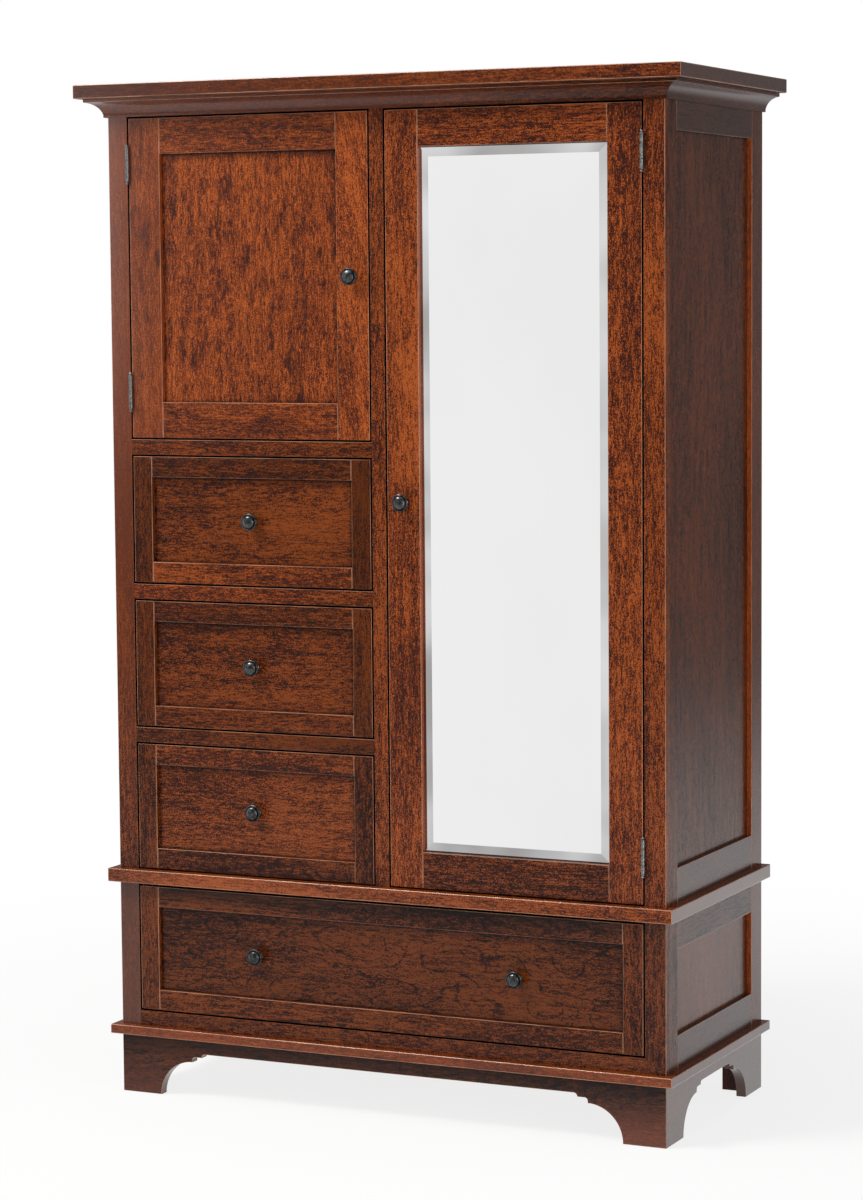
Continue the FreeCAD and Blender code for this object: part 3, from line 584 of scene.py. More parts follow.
grainShift = ((-0.5, 0.5), (-0.04, 0.04), (0.0, 0.05))  # metres along, across and through
grainSeeds = (0.0, 60.0)
leans = {"left_door_frame.rightStile": 0.16}  # boards whose grain runs off at a slant
endGrain = {"tone": 0.44, "lacquer": 1.0}  # cut ends take more stain and polish
gapShade = {"tone": 0.05, "dullEdge": 0.12}  # painted shade on the sides at a gap: share of tone there, and of wear and highlight on their dull edges
plain = (1.0, 1.0)  # shares of tone and of edge wear and highlight on all other sides
lines = {"board": 0.2, "rail": 0.5}  # share of dark lines in the grain
spotted = {  # boards with dark clouds in the grain
    "left_door_panel.board": 0.32,
    "left_door_frame.leftStile": 0.40,
    "mirror_door_frame.rightStile": 0.18,
    "drawer_1_front.board": 0.14,
    "drawer_2_front.board": 0.18,
    "drawer_3_front.board": 0.08,
}
plainSpots = 0.06
fades = {  # axis of a change, tone and lacquer at its low and high end; some tone changes are painted shadow or painted sheen, as noted
    # lighter towards the top: a painted sheen, beside a real coat growing the same way
    "upper_face_frame.leftStile": ("z", (0.72, 1.0), (0.10, 1.0)),
    "upper_face_frame.rightStile": ("z", (0.88, 1.06), (0.0, 0.0)),
    "upper_face_frame.railOver_drawer_1": ("x", (1.32, 0.92), (0.08, 0.0)),
    "upper_face_frame.railOver_drawer_2": ("x", (1.85, 1.08), (0.0, 0.0)),
    "upper_face_frame.railOver_drawer_3": ("x", (0.98, 0.50), (0.06, 0.0)),
    # darker towards the top: a painted shadow under the waist slab
    "wide_drawer_front.topRail": ("z", (1.20, 0.40), (0.04, 0.04)),
    "top_slab": ("x", (1.0, 2.8), (0.50, 0.10)),
    "waist_slab": ("x", (1.0, 1.0), (0.25, 0.0)),
    "base_band": ("x", (1.0, 1.0), (0.34, 0.34)),
    # lighter towards the left: a painted sheen, beside a real coat fading the same way
    "cornice_mouldingsfront": ("x", (1.05, 0.48), (1.0, 0.0)),
    "cornice_mouldingsleft": ("y", (0.45, 0.70), (0.42, 0.82)),
    "cornice_mouldingsright": ("y", (0.45, 0.70), (0.42, 0.82)),
    # darker towards the top: a painted shadow under the base band
    "base_front.board": ("z", (1.30, 0.26), (0.62, 0.04)),
}
leftToRight = {"base_front.board": (0.88, 1.50)}  # further share of tone and lacquer at both ends; the paler right end is partly a painted sheen


def shadedGapsAt(*sides, bright=()):  # share of tone and of edge wear and highlight for each side: painted shade at the gap, painted highlight kept on the bright edges
    return {side: (gapShade["tone"], 1.0 if side in bright else gapShade["dullEdge"]) for side in sides}


def setGrain(bm, order, name, tone, figure, lacquer=0.0, lined=lines["board"], shares={}, rim={}):
    draw = random.Random(name)
    shift = Vector([draw.uniform(*span) for span in grainShift])
    seed = draw.uniform(*grainSeeds)
    axes = ["xyz".index(letter) for letter in order]
    place = bm.verts.layers.float_vector.new("grainPlace")
    look = bm.loops.layers.float_vector.new("grainTraits")
    surface = bm.loops.layers.float_vector.new("surfaceTraits")
    fadeAxis, *fade = fades.get(name, (order[0], (1.0, 1.0), (lacquer, lacquer)))
    run = "xyz".index(fadeAxis)
    left, right = leftToRight.get(name, (1.0, 1.0))
    spots = spotted.get(name, plainSpots)
    lows = [min(vert.co[i] for vert in bm.verts) for i in range(3)]
    highs = [max(vert.co[i] for vert in bm.verts) for i in range(3)]
    for vert in bm.verts:
        along, across, through = (vert.co[i] - (lows[i] + highs[i]) / 2 for i in axes)
        vert[place] = Vector((along, across + leans.get(name, 0.0) * along, through)) + shift
    bm.normal_update()
    eased = bm.faces.layers.float["easedEdge"]
    for face in bm.faces:
        side = sideOf(face)
        isEnd = side[0] == order[0]
        share = shares.get(side, plain)[0]
        # a side's tone share darkens the sides at a gap, a painted shade, and pales the left edges beside a
        # panel, a painted light
        shade = endGrain["tone"] if isEnd and side not in shares else tone * share
        coat = 0.0 if side in shares else endGrain["lacquer"] if isEnd else None
        # edges beside a gap lose their lighter colour, polish and coat as painted shade; those listed as
        # bright keep their painted highlight
        if face[eased]:
            near = [other for (axis, sign), other in sideNames.items() if face.normal[axis] * sign > facing]
            face[eased] = 0.0 if share < 1.0 else min(shares.get(other, plain)[1] for other in near)
        for loop in face.loops:
            spot = loop.vert.co
            along = (spot[run] - lows[run]) / (highs[run] - lows[run])
            across = left + (right - left) * (spot.x - lows[0]) / (highs[0] - lows[0])
            # fades lighten or darken a board along one axis; in the rows so noted this is a painted shadow or
            # painted sheen
            toneHere, coatHere = (across * (low + (high - low) * along) for low, high in fade)
            # the rims darken a panel beside its frame: a painted shade
            for (axis, sign), shadedSide in sideNames.items():
                edge = highs[axis] if sign > 0 else lows[axis]
                if shadedSide in rim and abs(spot[axis] - edge) < touch:
                    toneHere *= rim[shadedSide][1]
            loop[look] = Vector((shade if isEnd else shade * toneHere, figure, seed))
            loop[surface] = Vector((coatHere if coat is None else coat, lined, spots))


def finishPiece(bm, name, crease=easing["crease"]):  # a piece's name begins with its node
    node = name.split(".")[0]
    for face in bm.faces:
        face.smooth = True
    for edge in bm.edges:
        if len(edge.link_faces) != 2 or edge.calc_face_angle() > math.radians(crease):
            edge.smooth = False
    mesh = bpy.data.meshes.new(name)
    bm.to_mesh(mesh)
    bm.free()
    mesh.materials.append(slotFinishes[slotOf[node]])
    piece = bpy.data.objects.new(name, mesh)
    scene.collection.objects.link(piece)
    shading = piece.modifiers.new("faceNormals", "WEIGHTED_NORMAL")
    shading.keep_sharp = True
    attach(piece, bodyOf[node])
    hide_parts(node)


def plank(name, lo, hi, order, tone, figure, sharp=(), lacquer=0.0, lined=lines["board"], shares={}):
    bm = startBox(lo, hi)
    eased = edgesBetween(bm, lambda first, second: first not in sharp and second not in sharp)
    easeEdges(bm, eased, easing["board"])
    setGrain(bm, order, name, tone, figure, lacquer, lined, shares)
    finishPiece(bm, name)


def boxAlong(lo, hi, axis, first, last):  # the same box, cut to a span of one axis
    newLo, newHi = Vector(lo), Vector(hi)
    newLo[axis], newHi[axis] = first, last
    return newLo, newHi


# frame of two stiles and two rails round a panel, standing in the plane of axis and z

def framedPieces(name, lo, hi, axis, widths, tones, figures, lacquers, shares, sharp=((),) * 4):
    left, right, bottom, top = widths
    across, through = "xy"[axis], "yx"[axis]
    rails = boxAlong(lo, hi, axis, lo[axis] + left, hi[axis] - right)
    members = {
        "leftStile": boxAlong(lo, hi, axis, lo[axis], lo[axis] + left),
        "rightStile": boxAlong(lo, hi, axis, hi[axis] - right, hi[axis]),
        "bottomRail": boxAlong(*rails, 2, lo.z, lo.z + bottom),
        "topRail": boxAlong(*rails, 2, hi.z - top, hi.z),
    }
    for i, (member, box) in enumerate(members.items()):
        isRail = member.endswith("Rail")
        order = across + "z" + through if isRail else "z" + across + through
        plank(name + "." + member, *box, order, tones[i], figures[i], sharp[i], lacquers[i],
              lines["rail" if isRail else "board"], shares[i])
    return boxAlong(*rails, 2, lo.z + bottom, hi.z - top)


panelShadeRims = {  # painted shade beside the frame, darkest under the top rail: width at each edge, share of the tone there
    "front": {"z+": (6 * mm, 0.02), "x+": (10 * mm, 0.10), "z-": (5 * mm, 0.5)},
    "side": {"z+": (5 * mm, 0.5)},
}


def sunkPanel(name, lo, hi, order, tone, figure, lacquer=0.0, rim=panelShadeRims["front"]):
    bm = startBox(lo, hi)
    # cuts the panel so that the painted shade beside its frame falls off over the rim's width
    for (axis, sign), side in sideNames.items():
        if side in rim:
            place, away = Vector(hi if sign > 0 else lo), Vector()
            place[axis] -= sign * rim[side][0]
            away[axis] = 1.0
            whole = [*bm.verts, *bm.edges, *bm.faces]
            bmesh.ops.bisect_plane(bm, geom=whole, plane_co=place, plane_no=away)
    setGrain(bm, order, name, tone, figure, lacquer, rim=rim)
    finishPiece(bm, name)


# doors and drawer fronts

innerEdges = {  # sides beside the panel: those to the left are painted paler as painted light, the others keep less of their lighter edge as painted shade
    "left": {"x+": (2.0, 1.0)},
    "right": {"x-": (1.0, 0.6)},
    "top": {"z-": (1.0, 0.35)},
}
# door and drawer frames: painted shade on the sides at a gap; the left, right and top edges keep their
# painted highlight, the lower ones are dulled
outerEdges = (shadedGapsAt("x-", "z-", "z+", bright=("x-", "z+")) | innerEdges["left"],
              shadedGapsAt("x+", "z-", "z+", bright=("x+", "z+")) | innerEdges["right"],
              shadedGapsAt("z-"),
              shadedGapsAt("z+", bright=("z+",)) | innerEdges["top"])
leftDoor = {  # rows go left stile, right stile, bottom rail, top rail
    "widths": (64 * mm, 64 * mm, 66 * mm, 66 * mm),
    "recess": 9 * mm,
    "panelThickness": 6 * mm,
    "tones": (0.83, 1.09, 0.92, 0.86),
    "figures": (0.40, 0.30, 0.30, 0.15),
    "lacquers": (0.32, 0.0, 0.08, 0.12),
    "panelTone": 1.06,
    "panelFigure": 0.55,
}
mirrorDoor = {
    "widths": (64 * mm, 64 * mm, 66 * mm, 66 * mm),
    "tones": (0.96, 0.94, 0.60, 0.96),
    "figures": (0.12, 0.55, 0.20, 0.15),
    "lacquers": (0.0, 0.0, 0.0, 0.0),
    "bevelWidth": 18.5 * mm,
    # a narrow strip at the bevel's inner edge keeps the flat colour: a painted highlight line
    "arris": 0.9 * mm,
    "paintedBevelShares": (1.0, 0.72, 1.0, 1.0),  # how far the painted reflection darkens the bottom, right, top and left bevels
    "bevelDepth": 2 * mm,
    "hiddenEdge": 7 * mm,
    "crease": 1.0,
}
drawers = {  # tones of the frame and the panel; panel figure
    "drawer_1": ((0.34, 0.27, 0.80, 0.41), 0.56, 0.40),
    "drawer_2": ((0.38, 0.36, 0.56, 0.50), 0.60, 0.50),
    "drawer_3": ((0.40, 0.40, 0.50, 0.72), 0.71, 0.30),
    "wide_drawer": ((0.44, 0.46, 0.50, 0.38), 0.38, 0.90),
}
drawerFront = {
    "widths": (38.5 * mm,) * 4,
    "recess": 9 * mm,
    "figures": (0.2, 0.2, 0.25, 0.2),
    "lacquers": (0.06, 0.0, 0.0, 0.04),
}


def frontFrame(node, look, tones):  # gives back the box inside the frame
    return framedPieces(node, *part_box(node), 0, look["widths"], tones, look["figures"], look["lacquers"],
                        outerEdges)


def makeLeftDoor(look):
    panelLo, panelHi = frontFrame("left_door_frame", look, look["tones"])
    panelLo.y += look["recess"]
    panelHi.y = panelLo.y + look["panelThickness"]
    sunkPanel("left_door_panel.board", panelLo, panelHi, "zxy", look["panelTone"], look["panelFigure"])


def makeMirrorDoor(look):
    frontFrame("mirror_door_frame", look, look["tones"])
    lo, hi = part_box("mirror_glass")
    inset = look["bevelWidth"] + look["hiddenEdge"]
    rimY = lo.y + look["bevelDepth"]
    arrisY = lo.y + look["bevelDepth"] * look["arris"] / inset
    bm = bmesh.new()
    rings = []
    for y, cut in ((hi.y, 0.0), (rimY, 0.0), (arrisY, inset - look["arris"]), (lo.y, inset)):
        left, right, low, high = lo.x + cut, hi.x - cut, lo.z + cut, hi.z - cut
        corners = ((left, low), (right, low), (right, high), (left, high))
        rings.append([bm.verts.new((x, y, z)) for x, z in corners])
    bm.faces.new(rings[-1])
    bm.faces.new(list(reversed(rings[0])))
    paintedBevelReflection = bm.faces.layers.float.new("paintedBevelReflection")
    turns = look["paintedBevelShares"]
    # the bevel and the plate's edge take the painted reflection's darkening; the arris strip keeps the flat
    # colour as a painted highlight
    for back, front, darkening in zip(rings, rings[1:], (turns, turns, (0.0,) * 4)):
        for i in range(4):
            j = (i + 1) % 4
            face = bm.faces.new((back[i], back[j], front[j], front[i]))
            face[paintedBevelReflection] = darkening[i]
    bmesh.ops.recalc_face_normals(bm, faces=bm.faces)
    finishPiece(bm, "mirror_glass.plate", look["crease"])


def makeDrawerFronts(look):
    for name, (tones, panelTone, panelFigure) in drawers.items():
        node = name + "_front"
        panelLo, panelHi = frontFrame(node, look, tones)
        panelLo.y += look["recess"]
        sunkPanel(node + ".board", panelLo, panelHi, "xzy", panelTone, panelFigure)


makeLeftDoor(leftDoor)
makeMirrorDoor(mirrorDoor)
makeDrawerFronts(drawerFront)
print("doors and drawer fronts ready")


# face frames and framed sides

faceFrame = {
    "outerStile": 40 * mm,
    "centreStile": 28 * mm,
    "rail": 28.5 * mm,
    "gap": 2.8 * mm,
    "lowerLacquers": (0.75, 0.08),
}
faceLooks = {  # tone and figure
    "left": (0.80, 0.12),
    "right": (0.84, 0.35),
    "centre": (0.77, 0.3),
    "head": (0.56, 0.12),
    "rails": (0.56, 0.3),
    "lowerStiles": (0.48, 0.12),
    "lowerRail": (0.50, 0.2),
}
sideFrames = {  # rows go front stile, rear stile, bottom rail, top rail
    "widths": {"upper": (36 * mm, 56 * mm, 62 * mm, 84 * mm),
               "lower": (36 * mm, 56 * mm, 60.5 * mm, 57.5 * mm)},
    "recess": 9 * mm,
    "panelThickness": 6 * mm,
    "panelFigure": 0.40,
    "thickness": 20 * mm,
    "tones": (0.47, 0.62, 0.30, 0.30),
    "figures": (0.15,) * 4,
    "lacquers": {"upper": (0.08, 0.4, 0.5, 0.5), "lower": (0.12, 0.42, 0.5, 0.28)},
    "panels": {"upper": (0.48, 0.15), "lower": (0.64, 0.33)},  # tone and lacquer
    "innerEdge": (2.6, 1.0),  # the rear stile's edge beside the panel is painted paler, a painted light
}


def makeFaceFrames(look):
    stile, half, rail, gap = look["outerStile"], look["centreStile"] / 2, look["rail"], look["gap"]
    leftCoat, rightCoat = look["lowerLacquers"]

    # sides at a gap get painted shade; rails keep a painted highlight on their top edge
    def member(name, kind, x, z, gapSides, bright=(), sharp=(), lacquer=0.0):
        order, ends = ("zxy", "z") if name.endswith("Stile") else ("xzy", "x")
        box = boxAlong(*boxAlong(lo, hi, 0, *x), 2, *z)
        plank(node + "." + name, *box, order, *faceLooks[kind], ("y+", ends + "+", ends + "-", *sharp),
              lacquer, shares=shadedGapsAt(*gapSides, bright=bright))

    node = "upper_face_frame"
    lo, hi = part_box(node)
    left, right, full = lo.x + stile, hi.x - stile, (lo.z, hi.z)
    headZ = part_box("mirror_door_frame")[1].z + gap
    member("leftStile", "left", (lo.x, left), full, ("x+",))
    member("rightStile", "right", (right, hi.x), full, ("x-",))
    member("centreStile", "centre", (-half, half), (lo.z, headZ), ("x-", "x+"))
    member("headRail", "head", (left, right), (headZ, hi.z), ("z-",))
    for drawer in ("drawer_1", "drawer_2", "drawer_3"):
        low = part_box(drawer + "_front")[1].z + gap
        member("railOver_" + drawer, "rails", (left, -half), (low, low + rail), ("z-", "z+"), ("z+",))
    node = "lower_face_frame"
    lo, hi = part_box(node)
    left, right, full = lo.x + stile, hi.x - stile, (lo.z, hi.z)
    member("leftStile", "lowerStiles", (lo.x, left), full, ("x+",), lacquer=leftCoat)
    member("rightStile", "lowerStiles", (right, hi.x), full, ("x-",), lacquer=rightCoat)
    member("bottomRail", "lowerRail", (left, right), (lo.z, lo.z + rail), ("z+",), sharp=("z-",))


def makeSides(look):
    for level in ("upper", "lower"):
        lo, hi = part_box(level + "_side_frames")
        panelTone, panelLacquer = look["panels"][level]
        for side, faceX, inward, inSide in (("left", lo.x, 1, "x+"), ("right", hi.x, -1, "x-")):
            sideBox = boxAlong(lo, hi, 0, *sorted((faceX, faceX + inward * look["thickness"])))
            ends = (inSide, "z+", "z-")
            panel = framedPieces(
                level + "_side_frames." + side, *sideBox, 1, look["widths"][level], look["tones"],
                look["figures"], look["lacquers"][level], ({}, {"y-": look["innerEdge"]}, {}, {}),
                ((*ends, "y-"), ends, (inSide, "z-"), (inSide, "z+")))
            outer = faceX + inward * look["recess"]
            inner = outer + inward * look["panelThickness"]
            sunkPanel(level + "_side_panels." + side, *boxAlong(*panel, 0, *sorted((outer, inner))), "zyx",
                      panelTone, look["panelFigure"], panelLacquer, panelShadeRims["side"])


makeFaceFrames(faceFrame)
makeSides(sideFrames)
print("face frames and sides ready")


# slabs with rounded nosings, and the cornice under the top one

slabs = {  # round over the upper and lower edge, tone
    "top_slab": (2.5 * mm, 6 * mm, 0.26),
    "waist_slab": (3 * mm, 2 * mm, 0.84),
    "base_band": (3 * mm, 2 * mm, 0.92),
}
slabLook = {"segments": 4, "figure": 0.2}
cornice = {
    "fillet": 6.5 * mm,
    "flat": 4.5 * mm,
    "reach": 33 * mm,
    "flatReach": 6 * mm,
    "coveDepth": 6 * mm,
    "coveSteps": 10,
    "ease": 0.7 * mm,
    "longEdge": 0.3,  # metres from which an edge runs along the moulding
    "sharpAngle": 30.0,
    "tone": 0.66,
    "figure": 0.2,
}


def makeSlabs(look):
    for node, (upper, lower, tone) in slabs.items():
        bm = startBox(*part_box(node))
        corners = ({"x-", "y-"}, {"x+", "y-"})
        easeEdges(bm, edgesBetween(bm, lambda first, second: {first, second} in corners), easing["board"])
        for side, radius in (("z+", upper), ("z-", lower)):
            rim = edgesBetween(bm, lambda *pair: side in pair and "y+" not in pair)
            easeEdges(bm, rim, radius, look["segments"])
        setGrain(bm, "xyz", node, tone, look["figure"])
        finishPiece(bm, node + ".board")


def arcBeside(start, end, depth, steps):  # points of an arc that stands off its chord, both ends included
    run, rise = end[0] - start[0], end[1] - start[1]
    chord = math.hypot(run, rise)
    radius = depth / 2 + chord**2 / (8 * depth)
    half = math.asin(chord / (2 * radius))
    points = []
    for i in range(steps + 1):
        angle = half * (2 * i / steps - 1)
        along = 0.5 + radius * math.sin(angle) / chord  # both as shares of the chord
        off = (depth - radius + radius * math.cos(angle)) / chord
        points.append((start[0] + run * along - rise * off, start[1] + rise * along + run * off))
    return points


def sweptMoulding(bm, profile, startOf, endOf):
    first = [bm.verts.new(startOf(out, z)) for out, z in profile]
    last = [bm.verts.new(endOf(out, z)) for out, z in profile]
    for i in range(len(profile)):
        j = (i + 1) % len(profile)
        bm.faces.new((first[i], first[j], last[j], last[i]))
    bm.faces.new(first)
    bm.faces.new(list(reversed(last)))
    bmesh.ops.recalc_face_normals(bm, faces=bm.faces)


def makeCornice(look):
    node = "cornice_mouldings"
    lo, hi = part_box(node)
    reach, flatReach = look["reach"], look["flatReach"]
    half, faceY = hi.x - reach, lo.y + reach
    foot, top = (flatReach, lo.z + look["flat"]), (reach, hi.z - look["fillet"])
    cove = arcBeside(foot, top, look["coveDepth"], look["coveSteps"])
    profile = [(0.0, lo.z), (flatReach, lo.z), *cove, (reach, hi.z), (0.0, hi.z)]

    def corner(turn):  # front corner on the left or right
        return lambda out, z: (turn * (half + out), faceY - out, z)

    def rearEnd(turn):
        return lambda out, z: (turn * (half + out), hi.y, z)

    runs = {
        "front": ("xzy", corner(-1), corner(1)),
        "right": ("yzx", corner(1), rearEnd(1)),
        "left": ("yzx", corner(-1), rearEnd(-1)),
    }
    for side, (order, startOf, endOf) in runs.items():
        bm = startMesh()
        sweptMoulding(bm, profile, startOf, endOf)
        eased = [edge for edge in bm.edges
                 if edge.calc_length() > look["longEdge"] and edge.verts[0].co.z > lo.z
                 and edge.calc_face_angle() > math.radians(look["sharpAngle"])]
        easeEdges(bm, eased, look["ease"])
        setGrain(bm, order, node + side, look["tone"], look["figure"])
        finishPiece(bm, node + "." + side)


makeSlabs(slabLook)
makeCornice(cornice)


# bracket base: boards with a wide arc and two small coved steps at each foot

bracket = {
    "thickness": 19 * mm,
    "footWidth": 82 * mm,
    "footDepth": 85 * mm,
    "radius": 67 * mm,
    "step": 3.7 * mm,
    "firstCove": 6 * mm,
    "ledge": 14 * mm,
    "secondCove": 6.8 * mm,
    "arcSteps": 18,
    "coveSteps": 6,
    "ease": 1.0 * mm,
    "tone": 0.40,
    "figure": 0.80,
    "sideLacquer": 1.0,
    "lined": 0.4,
}


def footCurve(look):  # from the toe to the apron, as reach along the board and height
    def quarterTurn(reach, height, radius, steps):
        angles = [math.pi / 2 * i / steps for i in range(steps + 1)]
        return [(reach - radius * math.cos(angle), height + radius * math.sin(angle)) for angle in angles]

    radius, first, second = look["radius"], look["firstCove"], look["secondCove"]
    height = radius + look["step"]
    return [*quarterTurn(radius, 0.0, radius, look["arcSteps"]),
            *quarterTurn(radius + first, height, first, look["coveSteps"]),
            *quarterTurn(radius + first + look["ledge"] + second, height + first, second, look["coveSteps"])]


def bracketBoard(name, look, order, low, high, foot, height, place, mitreHigh):  # low end is always mitred
    curve = footCurve(look)
    outline = [(low, height), (low, 0.0)]
    outline += [(low + foot + reach, z) for reach, z in curve]
    outline += [(high - foot - reach, z) for reach, z in reversed(curve)]
    outline += [(high, 0.0), (high, height)]
    cut = look["thickness"]

    def mitred(u):
        if abs(u - low) < touch:
            return u + cut
        return u - cut if mitreHigh and abs(u - high) < touch else u

    bm = startMesh()
    front = [bm.verts.new(place(u, z, 0.0)) for u, z in outline]
    back = [bm.verts.new(place(mitred(u), z, cut)) for u, z in outline]
    frontFace = bm.faces.new(front)
    bm.faces.new(list(reversed(back)))
    for i in range(len(outline)):
        j = (i + 1) % len(outline)
        bm.faces.new((front[j], front[i], back[i], back[j]))
    bmesh.ops.recalc_face_normals(bm, faces=bm.faces)
    shaped = [edge for edge in frontFace.edges if min(vert.co.z for vert in edge.verts) < height - touch]
    easeEdges(bm, shaped, look["ease"])
    setGrain(bm, order, name, look["tone"], look["figure"], look["sideLacquer"], look["lined"])
    finishPiece(bm, name)


def makeBase(look):
    lo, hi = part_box("base_front")
    bracketBoard("base_front.board", look, "xzy", lo.x, hi.x, look["footWidth"], hi.z,
                 lambda u, z, deep: (u, lo.y + deep, z), True)
    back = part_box("base_sides")[1].y
    for side, faceX, inward in (("right", hi.x, -1), ("left", lo.x, 1)):
        bracketBoard("base_sides." + side, look, "yzx", lo.y, back, look["footDepth"], hi.z,
                     lambda u, z, deep: (faceX + inward * deep, u, z), False)


makeBase(bracket)
print("slabs, cornice and base ready")


# turned knobs and butt hinges

knob = {
    "rosette": 9.9 * mm,
    "rosetteHeight": 1.9 * mm,
    "rosetteWall": 0.55,  # share of its height below the rounded edge
    "rosetteTop": 0.95,  # share of its radius above it
    "neck": 5.4 * mm,
    "neckHeight": 8.0 * mm,
    "neckCurve": 2.2,
    "flareHeight": 14.2 * mm,
    "flareCurve": 1.8,
    "radius": 15.9 * mm,
    "bead": 1.9 * mm,
    "beadHeight": 4.8 * mm,
    "groove": 1.9 * mm,
    "grooveDepth": 1.7 * mm,
    "domeRise": 0.3 * mm,
    "projection": 25.0 * mm,
    "screwHead": 4.2 * mm,
    "screwHeight": 2.4 * mm,
    "screwWall": 0.35,  # share of its height below the dome
    "steps": 56,
    "screwSteps": 24,
    "crease": 50.0,
}
knobSteps = {"curve": 8, "bead": 10, "dome": 12, "screw": 6}
hinge = {
    "length": 60 * mm,
    "endKnuckle": 16 * mm,
    "radius": 3.5 * mm,
    "ease": 0.4 * mm,
    "easeShare": 0.3,
    "knuckleGap": 0.4 * mm,
    "leafGap": 0.6 * mm,
    "leafReveal": 2.8 * mm,
    "leafDepth": 17 * mm,
    "leafEase": 0.25 * mm,
    "tabEase": 0.15 * mm,
    "tabOverlap": 1 * mm,
    "standoff": 0.3 * mm,
    "finial": 8 * mm,
    "screw": 3.1 * mm,
    "screwSink": 0.2 * mm,
    "screwRise": 0.15 * mm,
    "screwShares": (0.7, 0.8),  # radius and height where the dome flattens
    "screwPlaces": ((0.18, 0.62), (0.5, 0.36), (0.82, 0.62)),  # shares of the leaf's length and depth
    "screwSteps": 20,
    "steps": 28,
    "crease": 40.0,
    "pinCrease": 45.0,
}
finial = {  # shares of the barrel's radius, then of the finial's length
    "pin": 0.5,
    "collar": 0.95,
    "waist": 0.55,
    "ball": 0.84,
    "collarHeight": 0.14,
    "waistHeight": 0.22,
    "ballMiddle": 0.56,
    "ballHalf": 0.30,
    "ballFrom": 0.22,  # shares of a half turn
    "ballTurn": 0.62,
    "ballSteps": 10,
    "pinDepth": 1 * mm,
}


def latheInto(bm, profile, steps, centre, axis, sign=1):  # profile of radius and height round an axis
    along = "xyz".index(axis)
    first, second = (i for i in range(3) if i != along)

    def point(radius, angle, height):
        spot = list(centre)
        spot[along] += sign * height
        spot[first] += radius * math.cos(angle)
        spot[second] += radius * math.sin(angle)
        return bm.verts.new(spot)

    rings = []
    for radius, height in profile:
        count = 1 if radius < touch else steps
        rings.append([point(radius, 2 * math.pi * i / steps, height) for i in range(count)])
    for lower, upper in zip(rings, rings[1:]):
        for i in range(steps):
            j = (i + 1) % steps
            corners = (lower[i % len(lower)], lower[j % len(lower)],
                       upper[j % len(upper)], upper[i % len(upper)])
            bm.faces.new(list(dict.fromkeys(corners)))
    bmesh.ops.recalc_face_normals(bm, faces=bm.faces)


def quarterAngles(steps):
    return [math.pi / 2 * i / steps for i in range(steps)]


def knobProfile(look):
    rosette, rosetteHeight = look["rosette"], look["rosetteHeight"]
    neck, neckHeight, flareHeight = look["neck"], look["neckHeight"], look["flareHeight"]
    bead, beadHeight = look["bead"], look["beadHeight"]
    rosetteTop = rosette * look["rosetteTop"]
    points = [(0.0, 0.0), (rosette, 0.0), (rosette, rosetteHeight * look["rosetteWall"]),
              (rosetteTop, rosetteHeight)]
    sweep = [(i + 1) / knobSteps["curve"] for i in range(knobSteps["curve"])]
    points += [(neck + (rosetteTop - neck) * (1 - t) ** look["neckCurve"],
                rosetteHeight + (neckHeight - rosetteHeight) * t) for t in sweep]
    beadRoot = look["radius"] - bead
    points += [(neck + (beadRoot - neck) * t ** look["flareCurve"],
                neckHeight + (flareHeight - neckHeight) * t) for t in sweep]
    middle = flareHeight + beadHeight / 2
    turns = [math.pi * ((i + 1) / knobSteps["bead"] - 0.5) for i in range(knobSteps["bead"])]
    points += [(beadRoot + bead * math.cos(t), middle + beadHeight / 2 * math.sin(t)) for t in turns]
    dome = beadRoot - look["groove"]
    domeFoot = flareHeight + beadHeight + look["domeRise"]
    points.append((dome, domeFoot - look["grooveDepth"]))
    points += [(dome * math.cos(t), domeFoot + (look["projection"] - domeFoot) * math.sin(t))
               for t in quarterAngles(knobSteps["dome"])]
    return points + [(0.0, look["projection"])]


def makeKnob(look, name, x):
    lo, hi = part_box(name.split(".")[0])
    z = (lo.z + hi.z) / 2
    bm = bmesh.new()
    latheInto(bm, knobProfile(look), look["steps"], (x, lo.y + look["projection"], z), "y", -1)
    head, high, wall = look["screwHead"], look["screwHeight"], look["screwWall"]
    dome = [(head * math.cos(t), high * (wall + (1 - wall) * math.sin(t)))
            for t in quarterAngles(knobSteps["screw"])]
    latheInto(bm, [(0.0, 0.0), (head, 0.0), *dome, (0.0, high)], look["screwSteps"], (x, hi.y - high, z), "y")
    finishPiece(bm, name, look["crease"])


def makeKnobs(look):
    for body in ("left_door", "mirror_door", "drawer_1", "drawer_2", "drawer_3"):
        lo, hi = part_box(body + "_knob")
        makeKnob(look, body + "_knob.turned", (lo.x + hi.x) / 2)
    lo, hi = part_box("wide_drawer_knobs")
    makeKnob(look, "wide_drawer_knobs.left", lo.x + look["radius"])
    makeKnob(look, "wide_drawer_knobs.right", hi.x - look["radius"])


def addPlate(bm, lo, hi, ease):
    other = startBox(lo, hi)
    easeEdges(other, list(other.edges), ease)
    mesh = bpy.data.meshes.new("plate")
    other.to_mesh(mesh)
    other.free()
    bm.from_mesh(mesh)
    bpy.data.meshes.remove(mesh)


def addKnuckle(bm, look, axis, low, high):
    radius, ease = look["radius"], look["ease"]
    part = ease * look["easeShare"]
    profile = [(0.0, low), (radius - ease, low), (radius - part, low + part), (radius, low + ease),
               (radius, high - ease), (radius - part, high - part), (radius - ease, high), (0.0, high)]
    latheInto(bm, profile, look["steps"], (*axis, 0.0), "z")


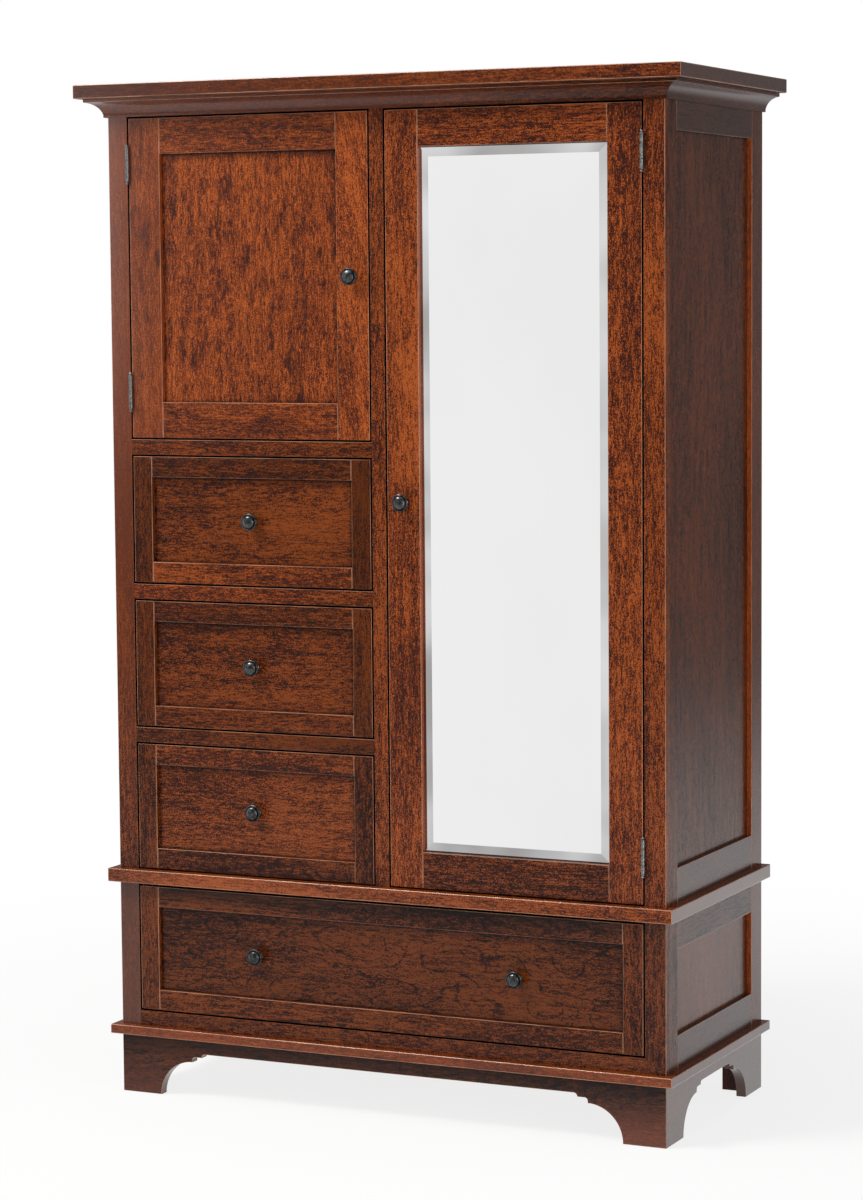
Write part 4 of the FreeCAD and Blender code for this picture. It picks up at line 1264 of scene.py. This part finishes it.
def makeLeaf(name, look, axis, heights, knuckles, plate, inward):
    low, high = plate
    leafY = axis[1] + look["radius"] + look["standoff"]
    screw, sink, rise = look["screw"], look["screwSink"], look["screwRise"]
    flatRadius, flatHeight = look["screwShares"]
    dome = [(0.0, -sink), (screw, -sink), (screw, 0.0), (screw * flatRadius, rise * flatHeight), (0.0, rise)]
    bm = startMesh()
    for z in heights:
        for bottom, top in knuckles:
            addKnuckle(bm, look, axis, z + bottom, z + top)
            addPlate(bm, Vector((low, axis[1], z + bottom + look["ease"])),
                     Vector((high, leafY + look["tabOverlap"], z + top - look["ease"])), look["tabEase"])
        addPlate(bm, Vector((low, leafY, z)),
                 Vector((high, leafY + look["leafDepth"], z + look["length"])), look["leafEase"])
        for upShare, deepShare in look["screwPlaces"]:
            place = (high if inward > 0 else low, leafY + look["leafDepth"] * deepShare,
                     z + look["length"] * upShare)
            latheInto(bm, dome, look["screwSteps"], place, "x", inward)
    finishPiece(bm, name, look["crease"])


def finialProfile(radius, length, look):  # outwards from the barrel's end
    angles = [math.pi * (look["ballFrom"] + look["ballTurn"] * i / look["ballSteps"])
              for i in range(look["ballSteps"] + 1)]
    middle, half = look["ballMiddle"] * length, look["ballHalf"] * length
    ball = [(look["ball"] * radius * math.sin(t), middle - half * math.cos(t)) for t in angles]
    pin, collar, deep = look["pin"] * radius, look["collar"] * radius, look["pinDepth"]
    return [(0.0, -deep), (pin, -deep), (pin, 0.0), (collar, 0.0), (collar, look["collarHeight"] * length),
            (look["waist"] * radius, look["waistHeight"] * length), *ball, (0.0, length)]


def makeHinges(look):
    length, radius, half = look["length"], look["radius"], look["leafReveal"] / 2
    leaf = (look["leafReveal"] - look["leafGap"]) / 2
    end, gap = look["endKnuckle"], look["knuckleGap"]
    caseKnuckles = ((0.0, end), (length - end, length))
    doorKnuckles = ((end + gap, length - end - gap),)
    profile = finialProfile(radius, look["finial"], finial)
    for door, side in (("left", -1), ("mirror", 1)):
        caseNode, doorNode = door + "_hinge_case_leaves", door + "_hinge_door_leaves"
        lo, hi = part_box(caseNode)
        axisX = lo.x + radius if side < 0 else hi.x - radius
        axis = (axisX, lo.y + radius)
        heights = (lo.z, hi.z - length)
        outer = sorted((axisX + side * half, axisX + side * (half - leaf)))
        inner = sorted((axisX - side * half, axisX - side * (half - leaf)))
        makeLeaf(caseNode + ".steel", look, axis, heights, caseKnuckles, outer, -side)
        makeLeaf(doorNode + ".steel", look, axis, heights, doorKnuckles, inner, side)
        bm = bmesh.new()
        for z in heights:
            latheInto(bm, profile, look["steps"], (*axis, z), "z", -1)
            latheInto(bm, profile, look["steps"], (*axis, z + length), "z")
        finishPiece(bm, "hinge_pins." + door, look["pinCrease"])


makeKnobs(knob)
makeHinges(hinge)
print("knobs and hinges ready")


# CAD pieces inside the case keep their shape and get a finish, with the grain along the first axis

insideFinishes = {
    "partition": ("insideCherry", "zyx"),
    "cupboard_floor": ("insideCherry", "xyz"),
    "adjustable_shelf": ("insideCherry", "xyz"),
    "clothes_rod": ("boxMaple", "xyz"),
    "base_back": ("baseWood", "xzy"),
    "base_corner_blocks": ("baseWood", "zxy"),
    "slide_cleats": ("plainWood", "yzx"),
    "upper_back": ("backPly", "zxy"),
    "lower_back": ("backPly", "zxy"),
    "mirror_backing": ("hardboard", "zxy"),
    "mirror_stops": ("insideCherry", "zxy"),
}
boxFinish = ("boxMaple", "box")


def finishInside():
    made = {}
    for node, slotName in slotOf.items():
        wanted = insideFinishes.get(node, boxFinish if slotName == "box_maple" else slotName)
        if wanted not in made:
            made[wanted] = slotFinishes[wanted] if wanted in slotFinishes else boardFinish(*wanted)
        piece = frame["nodes"][node]
        if not piece.hide_render:
            for held in piece.material_slots:
                held.material = made[wanted]


finishInside()
print("inside finishes ready")
